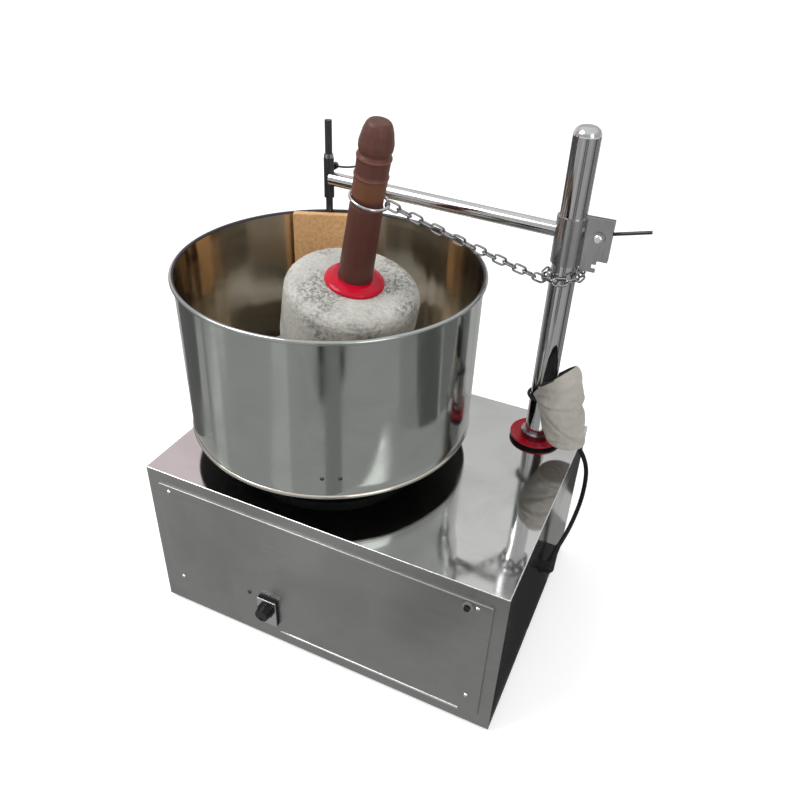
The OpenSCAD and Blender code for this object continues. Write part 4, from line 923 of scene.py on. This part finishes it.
class GRINDER_OT_drum(bpy.types.Operator):
    """Turn the polished drum with its rolled rim and bottom bead"""

    bl_idname = "grinder.drum"
    bl_label = "Drum"

    def execute(self, context):
        height = (DRUM_HIGH.z - DRUM_LOW.z) / MM
        rim = (DRUM_HIGH.x - DRUM_LOW.x) / 2 / MM
        top_r = rim - 2 * DRUM_ROLL + DRUM_WALL
        roll_from = -math.degrees(math.acos((DRUM_WALL - DRUM_ROLL) / DRUM_ROLL))
        rim_foot = height - 2 * DRUM_ROLL - DRUM_ROLL_GAP
        under = [(radius, 0) for radius in DRUM_UNDER_R]
        outer = arc(DRUM_BOTTOM_R + DRUM_BEAD_OUT - DRUM_BEAD, DRUM_BEAD, DRUM_BEAD, -90, 60, 14)
        outer += [(DRUM_BOTTOM_R + (top_r - DRUM_BOTTOM_R) * up / height, up)
                  for up in (DRUM_BEAD_TOP, rim_foot)]
        outer += arc(rim - DRUM_ROLL, height - DRUM_ROLL, DRUM_ROLL, roll_from, 180, 24)
        inner = [(DRUM_BOTTOM_R - DRUM_WALL, DRUM_CORNER)]
        inner += arc(DRUM_BOTTOM_R - DRUM_CORNER, DRUM_CORNER, DRUM_CORNER - DRUM_WALL, 0, -90, 10)
        inner.append((0, DRUM_WALL))
        wall_up = fine(scaled(outer), DRUM_STEP * MM)
        line = scaled(under) + wall_up + fine([wall_up[-1]] + scaled(inner), DRUM_STEP * MM)[1:]
        shape = turned(line, sizes().lathe_steps)
        drum = solid("drum_shell", shape, Matrix.Translation(DRUM_AXIS), sharp=60)
        dress(drum, *DRUM_FINISHES)
        for face in drum.data.polygons:
            face.material_index = drum_finish(face, height)
        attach(drum, "drum_assembly")
        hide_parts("drum")
        return {"FINISHED"}


# Pestle: radius of its ball, height of its flat top above the ball's centre, and its shoulder
STONE_R = 80.0
STONE_RISE = 70.0
STONE_SHOULDER = 16.0
STONE_STEPS = 300
STONE_STEP = 1.5
# Where the shoulder is chipped: height, spread and least radius
SHOULDER_CHIPS_UP = 58
SHOULDER_CHIPS_SPREAD = 12
SHOULDER_CHIPS_FROM = 52
# Where the top is chipped: radius, spread and share of the shoulder's depth
TOP_CHIPS_R = 62
TOP_CHIPS_SPREAD = 14
TOP_CHIPS_SHARE = 0.45
# Least share of chips, and the flat seat of the collar, which has none
LEAST_CHIPS = 0.10
SEAT_R = 40
SEAT_DEPTH = 0.5
# Fineness and depth of the chips and the pits, and the noise under which a pit starts
CHIP_SCALE = 0.16
CHIP_DEPTH = 0.8
PIT_SCALE = 0.24
PIT_DEPTH = 1.6
PIT_FROM = -0.10


def stone_warp(corner):
    """Chips and hollows of the pestle stone: deep on the shoulder, slight elsewhere."""
    flat = math.hypot(corner.x, corner.y) / MM
    up = corner.z / MM
    if flat > SHOULDER_CHIPS_FROM:
        rough = math.exp(-((up - SHOULDER_CHIPS_UP) / SHOULDER_CHIPS_SPREAD) ** 2)
    else:
        rough = TOP_CHIPS_SHARE * math.exp(-((flat - TOP_CHIPS_R) / TOP_CHIPS_SPREAD) ** 2)
    rough = max(rough, LEAST_CHIPS)
    if up > STONE_RISE - SEAT_DEPTH and flat < SEAT_R:
        rough = 0.0
    spot = corner * (1 / MM)
    chips = noise.fractal(spot * CHIP_SCALE, 0.9, 2.1, 4)
    pits = min(0.0, noise.noise(spot * PIT_SCALE) - PIT_FROM) * PIT_DEPTH
    push = -abs(chips) * CHIP_DEPTH + pits
    away = corner.normalized() if corner.length > 0 else Vector()
    return corner + away * push * rough * sizes().stone_rough


# Handle: length, height of the neck that the ring sits in, and heights of the beads above the neck
HANDLE_LEN = 190.5
NECK_UP = HANDLE_LEN - 85.0
BEADS_UP = (27.7, 48.0)
# Height above the neck from which the ring has rubbed it
RUBBED_UP = 3
# Radii of its foot, its head and the rod through it, rounding of its outline and longest step along it
HANDLE_FOOT_R = 20.0
HANDLE_HEAD_R = 18.2
HANDLE_ROD_R = 6.0
HANDLE_ROUND = 3.0
HANDLE_STEP = 4.0
# Outline of the red collar outside the handle: radius and height, and its rounding
COLLAR_LINE = ((35.0, 0.0), (35.0, 2.6), (32.5, 5.2), (25.0, 8.0))
COLLAR_ROUND = 1.6
# Faces round the collar, the handle and the flange
SMALL_STEPS = 128


class GRINDER_OT_stones(bpy.types.Operator):
    """Shape the chipped pestle stone and its red collar"""

    bl_idname = "grinder.stones"
    bl_label = "Pestle stone and collar"

    def execute(self, context):
        placed = Matrix.Translation(PESTLE_AT) @ PESTLE_TURN
        line = [(0, -STONE_R)] + arc(0, 0, STONE_R, -90, 0, 40)[1:]
        line += arc(STONE_R - STONE_SHOULDER, STONE_RISE - STONE_SHOULDER, STONE_SHOULDER, 0, 90, 24)
        line = fine(scaled(line + [(0, STONE_RISE)]), STONE_STEP * MM)
        stone = solid("pestle_rock", turned(line, STONE_STEPS, warp=stone_warp), placed, sharp=80)
        dress(stone, "granite")
        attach(stone, "pestle")
        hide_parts("pestle_stone")
        ring = [(HANDLE_FOOT_R, 0.0), *COLLAR_LINE, (HANDLE_FOOT_R, COLLAR_LINE[-1][1])]
        ring = scaled(rounded(ring, COLLAR_ROUND, 5))
        collar = solid("red_collar", turned(ring, SMALL_STEPS, closed=True),
                       placed @ Matrix.Translation((0, 0, STONE_RISE * MM)), sharp=60)
        dress(collar, "red_plastic")
        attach(collar, "pestle")
        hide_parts("stone_collar")
        return {"FINISHED"}


class GRINDER_OT_handle(bpy.types.Operator):
    """Turn the wooden handle with its neck and beads"""

    bl_idname = "grinder.handle"
    bl_label = "Wooden handle"

    def execute(self, context):
        length, neck, head = HANDLE_LEN, NECK_UP, HANDLE_HEAD_R
        line = [
            (HANDLE_ROD_R, 0), (HANDLE_FOOT_R, 0),
            # Neck
            (head, neck - 6.5), (head - 1, neck - 4.5), (head - 1, neck + 4.5), (head, neck + 6.5),
            # Lower bead
            (head - 0.3, neck + 25), (head + 0.6, neck + 27), (head + 0.6, neck + 28.5),
            (head - 0.6, neck + 30.5),
            # Upper bead
            (head - 0.3, neck + 45), (head + 0.6, neck + 47), (head + 0.6, neck + 49),
            (head - 1.8, neck + 52),
            # Knob
            (head, neck + 57), (head + 0.2, neck + 63), (head - 0.6, length - 18), (head - 2.4, length - 9),
            (head - 5, length - 2.5), (head - 7.5, length), (0, length),
        ]
        line = fine(scaled(rounded(line, HANDLE_ROUND, 5)), HANDLE_STEP * MM)
        shape = turned(line, SMALL_STEPS)
        placed = Matrix.Translation(PESTLE_AT) @ PESTLE_TURN @ Matrix.Translation((0, 0, STONE_RISE * MM))
        handle = solid("turned_handle", shape, placed, sharp=75)
        dress(handle, "dark_wood")
        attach(handle, "pestle")
        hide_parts("wooden_handle")
        return {"FINISHED"}


# Flange: gap to the post, outline of its dish outside the bore (radius and height), and rounding
FLANGE_GAP = 0.2
FLANGE_LINE = ((29.5, 0), (33.3, 3.4), (33.5, 6.0), (32.2, 6.0), (29.5, 4.6), (21.0, 3.5))
FLANGE_ROUND = 0.9
# Its outer wall below this height and outside this radius is black, a painted shade
FLANGE_SHADE_UP = 4.2
FLANGE_SHADE_R = 24


class GRINDER_OT_flange(bpy.types.Operator):
    """Turn the dished red flange at the post's foot"""

    bl_idname = "grinder.flange"
    bl_label = "Post flange"

    def execute(self, context):
        bore = POST_R / MM + FLANGE_GAP
        line = rounded([(bore, 0), *FLANGE_LINE, (bore, FLANGE_LINE[-1][1])], FLANGE_ROUND, 4)
        shape = turned(scaled(line), SMALL_STEPS, closed=True)
        flange = solid("red_flange", shape, Matrix.Translation(POST), sharp=60)
        dress(flange, "red_plastic", "painted_shade_black")
        # Low outer wall of the flange in black: painted shade
        for face in flange.data.polygons:
            low = face.center.z < POST.z + FLANGE_SHADE_UP * MM
            outer = (face.center - POST).xy.length > FLANGE_SHADE_R * MM
            face.material_index = int(low and outer and face.normal.z < 0.3)
        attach(flange, "cabinet")
        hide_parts("post_flange")
        return {"FINISHED"}


# Finishes of the CAD nodes that stay, where they differ from the record's slot
OWN_FINISH = {
    "top_cover": "deck_steel",
    "chain": "chain_steel",
    "switch_plate": "plate_steel",
    "drum_rivets": "dark_steel",
    "arm_clamp": "clamp_steel",
    "clamp_screw": "screw_steel",
    # Lock ring in the darker chain chrome: a painted dark reflection
    "post_lock_ring": "chain_steel",
    "pouch_tie": "black_tie_hem_and_painted_shade",
}
# Widths of their rounded edges, and the finish of those edges where it differs from the node's; the deck's pale
# edge finish is a painted highlight
EDGED = {
    "top_cover": 1.6,
    "switch_plate": 0.4,
    "switch_gasket": 0.5,
    "scraper_board": 1.2,
    "rubber_feet": 1.5,
}
EDGE_FINISH = {"top_cover": "deck_edge_painted_highlight"}


class GRINDER_OT_finishes(bpy.types.Operator):
    """Give every CAD node its finish, and round the edges of those listed in EDGED"""

    bl_idname = "grinder.finishes"
    bl_label = "Finishes"

    def execute(self, context):
        for part in frame["record"]["subparts"]:
            dress(NODES[part["node"]], part["material_slot"])
        for name, slot in OWN_FINISH.items():
            dress(NODES[name], slot)
        for name, width in EDGED.items():
            soften_edges(NODES[name], width * MM, EDGE_FINISH.get(name))
        return {"FINISHED"}


# Stage, in metres
FLOOR_HALF = 12.0
FLOOR_GREY = (0.88, 0.88, 0.88)
WHITE = (1.0, 1.0, 1.0)
# Sky that the steel shows: sines of the heights between which it brightens, and its level below them
SKY_BAND = (0.40, 0.75)
SKY_LOW = 0.62
LAMP_TARGET = (0, 0, 0.3)
KEY_SIZE = (1.4, 1.4)
KEY_AT = (-1.3, -1.0, 2.3)
FILL_SIZE = (1.0, 1.6)
FILL_AT = (1.8, -1.2, 1.2)
# Share of blue in the grey of a floor card
CARD_BLUE = 0.985
# Grey cards that cover the floor: how many, nearest and farthest distance and height
FLOOR_SECTORS = 12
FLOOR_CARD_REACH = (0.05, 4.0)
FLOOR_CARD_Z = 0.0003
# Cards that streak the drum, with a far one for the post: direction from the drum's axis and half width
# in degrees, brightness and nearest distance
STREAKS = (
    (176, 14, 0.14, 0.3), (-155, 3, 0.34, 0.3), (-144, 4, 0.72, 0.3), (-96, 6, 0.62, 0.3),
    (-62, 7, 0.30, 0.3), (-71.2, 2.5, 0.0, 0.74), (-54, 2.3, 0.0, 0.82), (-8, 6, 0.36, 0.3),
    (8, 9, 0.13, 0.3), (28, 8, 0.24, 0.3), (48, 5, 0.06, 0.3), (60, 5, 0.62, 0.3), (168, 47, 0.10, 1.25),
)
# Their farthest distance, the height of the first and the rise from one to the next
STREAK_FAR = 3.8
STREAK_Z = 0.0004
STREAK_RISE = 0.00001
# Dark card on the floor along the right side
SIDE_CARD_GAP = 0.001
SIDE_CARD_WIDTH = 0.05
SIDE_CARD_HALF = 0.17
SIDE_CARD_Z = 0.0006
SIDE_CARD_COLOUR = (0.03, 0.03, 0.03)
# Tall warm card behind on the left: ends of its foot, low and high edge
WARM_CARD_FOOT = ((-1.9, 0.6), (-0.9, 1.7))
WARM_CARD_LOW = 0.2
WARM_CARD_HIGH = 1.8
WARM_CARD_COLOUR = (1.0, 0.86, 0.90)


def stage_material(name):
    """An empty material with its graph and its output."""
    finish = bpy.data.materials.new(name)
    finish.use_nodes = True
    finish.node_tree.nodes.clear()
    graph = Graph(finish.node_tree)
    return finish, graph, graph.add("ShaderNodeOutputMaterial")


def sheet_card(name, corners, colour):
    """A plain card that only reflections see."""
    mesh = bpy.data.meshes.new(name)
    mesh.from_pydata(corners, [], [tuple(range(len(corners)))])
    card = link(name, mesh)
    finish, graph, end = stage_material(name)
    glow = graph.add("ShaderNodeEmission", {"Color": colour, "Strength": 1.0})
    graph.put(end.inputs["Surface"], glow.outputs[0])
    mesh.materials.append(finish)
    card.visible_camera = False
    card.visible_diffuse = False
    card.visible_shadow = False


def floor_wedge(name, middle_deg, half_deg, near, far, height, level):
    """A card on the floor: a sector about the drum's axis between two distances."""
    corners = []
    for reach, turns in ((near, (-1, 0, 1)), (far, (1, 0, -1))):
        for side in turns:
            turn = math.radians(middle_deg + side * half_deg)
            x = DRUM_AXIS.x + reach * math.cos(turn)
            y = DRUM_AXIS.y + reach * math.sin(turn)
            corners.append((x, y, height))
    sheet_card(name, corners, (level, level, level * CARD_BLUE))


def room_cards(grey):
    """The cards that the steel shows in place of a room, on a floor of this grey."""
    for k in range(FLOOR_SECTORS):
        floor_wedge(f"floor_card_{k}", 360 / FLOOR_SECTORS * k, 180 / FLOOR_SECTORS, *FLOOR_CARD_REACH,
                    FLOOR_CARD_Z, grey)
    for k, (middle_deg, half_deg, level, near) in enumerate(STREAKS):
        height = STREAK_Z + STREAK_RISE * k
        floor_wedge(f"streak_card_{k}", middle_deg, half_deg, near, STREAK_FAR, height, level)
    near_x = CABINET_HIGH.x + SIDE_CARD_GAP
    far_x = near_x + SIDE_CARD_WIDTH
    front = CABINET.y - SIDE_CARD_HALF
    back = CABINET.y + SIDE_CARD_HALF
    sheet_card("side_card", [(x, y, SIDE_CARD_Z) for x, y in (
        (near_x, front), (far_x, front), (far_x, back), (near_x, back))], SIDE_CARD_COLOUR)
    left, right = WARM_CARD_FOOT
    sheet_card("warm_card", [
        (*left, WARM_CARD_LOW), (*right, WARM_CARD_LOW), (*right, WARM_CARD_HIGH), (*left, WARM_CARD_HIGH)],
        WARM_CARD_COLOUR)


def pale_floor(lift_level):
    """A pale floor that is lifted towards white where the camera or a reflection sees it."""
    mesh = bpy.data.meshes.new("floor")
    mesh.from_pydata([
        (-FLOOR_HALF, -FLOOR_HALF, 0), (FLOOR_HALF, -FLOOR_HALF, 0),
        (FLOOR_HALF, FLOOR_HALF, 0), (-FLOOR_HALF, FLOOR_HALF, 0)], [], [(0, 1, 2, 3)])
    floor = link("floor", mesh)
    finish, graph, end = stage_material("Pale floor")
    base = graph.add("ShaderNodeBsdfDiffuse", {"Color": FLOOR_GREY})
    path = graph.add("ShaderNodeLightPath").outputs
    seen = graph.math("MAXIMUM", path["Is Camera Ray"], path["Is Glossy Ray"])
    seen = graph.math("MAXIMUM", seen, path["Is Transmission Ray"])
    lift = graph.add("ShaderNodeEmission", {
        "Color": WHITE, "Strength": graph.math("MULTIPLY", seen, lift_level)})
    both = graph.add("ShaderNodeAddShader", {0: base.outputs[0], 1: lift.outputs[0]})
    graph.put(end.inputs["Surface"], both.outputs[0])
    mesh.materials.append(finish)


def soft_room(scene, light_level):
    """Soft light all round, with a sky of its own for reflections and white for the camera."""
    world = bpy.data.worlds.new("soft room")
    scene.world = world
    world.use_nodes = True
    world.node_tree.nodes.clear()
    graph = Graph(world.node_tree)
    way = graph.add("ShaderNodeTexCoord").outputs["Generated"]
    height = graph.add("ShaderNodeSeparateXYZ", {0: way}).outputs["Z"]
    path = graph.add("ShaderNodeLightPath").outputs
    shown = graph.math("MAXIMUM", path["Is Glossy Ray"], path["Is Transmission Ray"])
    soft = graph.ramp(height, *SKY_BAND, SKY_LOW, 1.0)
    level = graph.ramp(shown, 0.0, 1.0, light_level, soft)
    sky = graph.add("ShaderNodeBackground", {
        "Color": WHITE, "Strength": graph.ramp(path["Is Camera Ray"], 0.0, 1.0, level, 1.0)})
    end = graph.add("ShaderNodeOutputWorld")
    graph.put(end.inputs["Surface"], sky.outputs[0])


def lamp(name, power, size, at):
    """A soft lamp that looks at the part."""
    light = bpy.data.lights.new(name, "AREA")
    light.shape = "RECTANGLE"
    light.size, light.size_y = size
    light.energy = power
    thing = link(name, light)
    thing.location = at
    thing.rotation_euler = (Vector(LAMP_TARGET) - Vector(at)).to_track_quat("-Z", "Y").to_euler()


class GRINDER_OT_stage(bpy.types.Operator):
    """Set the pale floor, the soft lamps and the cards that the steel reflects"""

    bl_idname = "grinder.stage"
    bl_label = "Stage"

    def execute(self, context):
        settings = stage_settings()
        scene = context.scene
        scene.view_settings.view_transform = "Standard"
        pale_floor(settings.floor_lift)
        soft_room(scene, settings.world_level)
        lamp("key", settings.key_power, KEY_SIZE, KEY_AT)
        lamp("fill", settings.fill_power, FILL_SIZE, FILL_AT)
        room_cards(settings.card_level)
        return {"FINISHED"}


STEPS = (
    GRINDER_OT_camera, GRINDER_OT_cord, GRINDER_OT_finishes, GRINDER_OT_pouch, GRINDER_OT_drum,
    GRINDER_OT_stones, GRINDER_OT_handle, GRINDER_OT_flange, GRINDER_OT_panel, GRINDER_OT_stage,
)


class GRINDER_PT_panel(bpy.types.Panel):
    """Lists the grinder's pieces"""

    bl_idname = "GRINDER_PT_panel"
    bl_label = "Wet grinder"
    bl_space_type = "VIEW_3D"
    bl_region_type = "UI"
    bl_category = "Grinder"

    def draw(self, context):
        for step in STEPS:
            self.layout.operator(step.bl_idname)


SETTINGS = {"grinder_sizes": GrinderSizes, "grinder_colours": GrinderColours, "grinder_stage": GrinderStage}
CLASSES = (*SETTINGS.values(), *STEPS, GRINDER_PT_panel)


def register():
    for item in CLASSES:
        bpy.utils.register_class(item)
    for name, kind in SETTINGS.items():
        setattr(bpy.types.Scene, name, bpy.props.PointerProperty(type=kind))


def unregister():
    for name in SETTINGS:
        delattr(bpy.types.Scene, name)
    for item in reversed(CLASSES):
        bpy.utils.unregister_class(item)


def main():
    register()
    make_groups()
    FINISH.update(make_materials())
    for step in STEPS:
        area, name = step.bl_idname.split(".")
        getattr(getattr(bpy.ops, area), name)()
    bpy.context.view_layer.update()


if __name__ == "__main__":
    main()
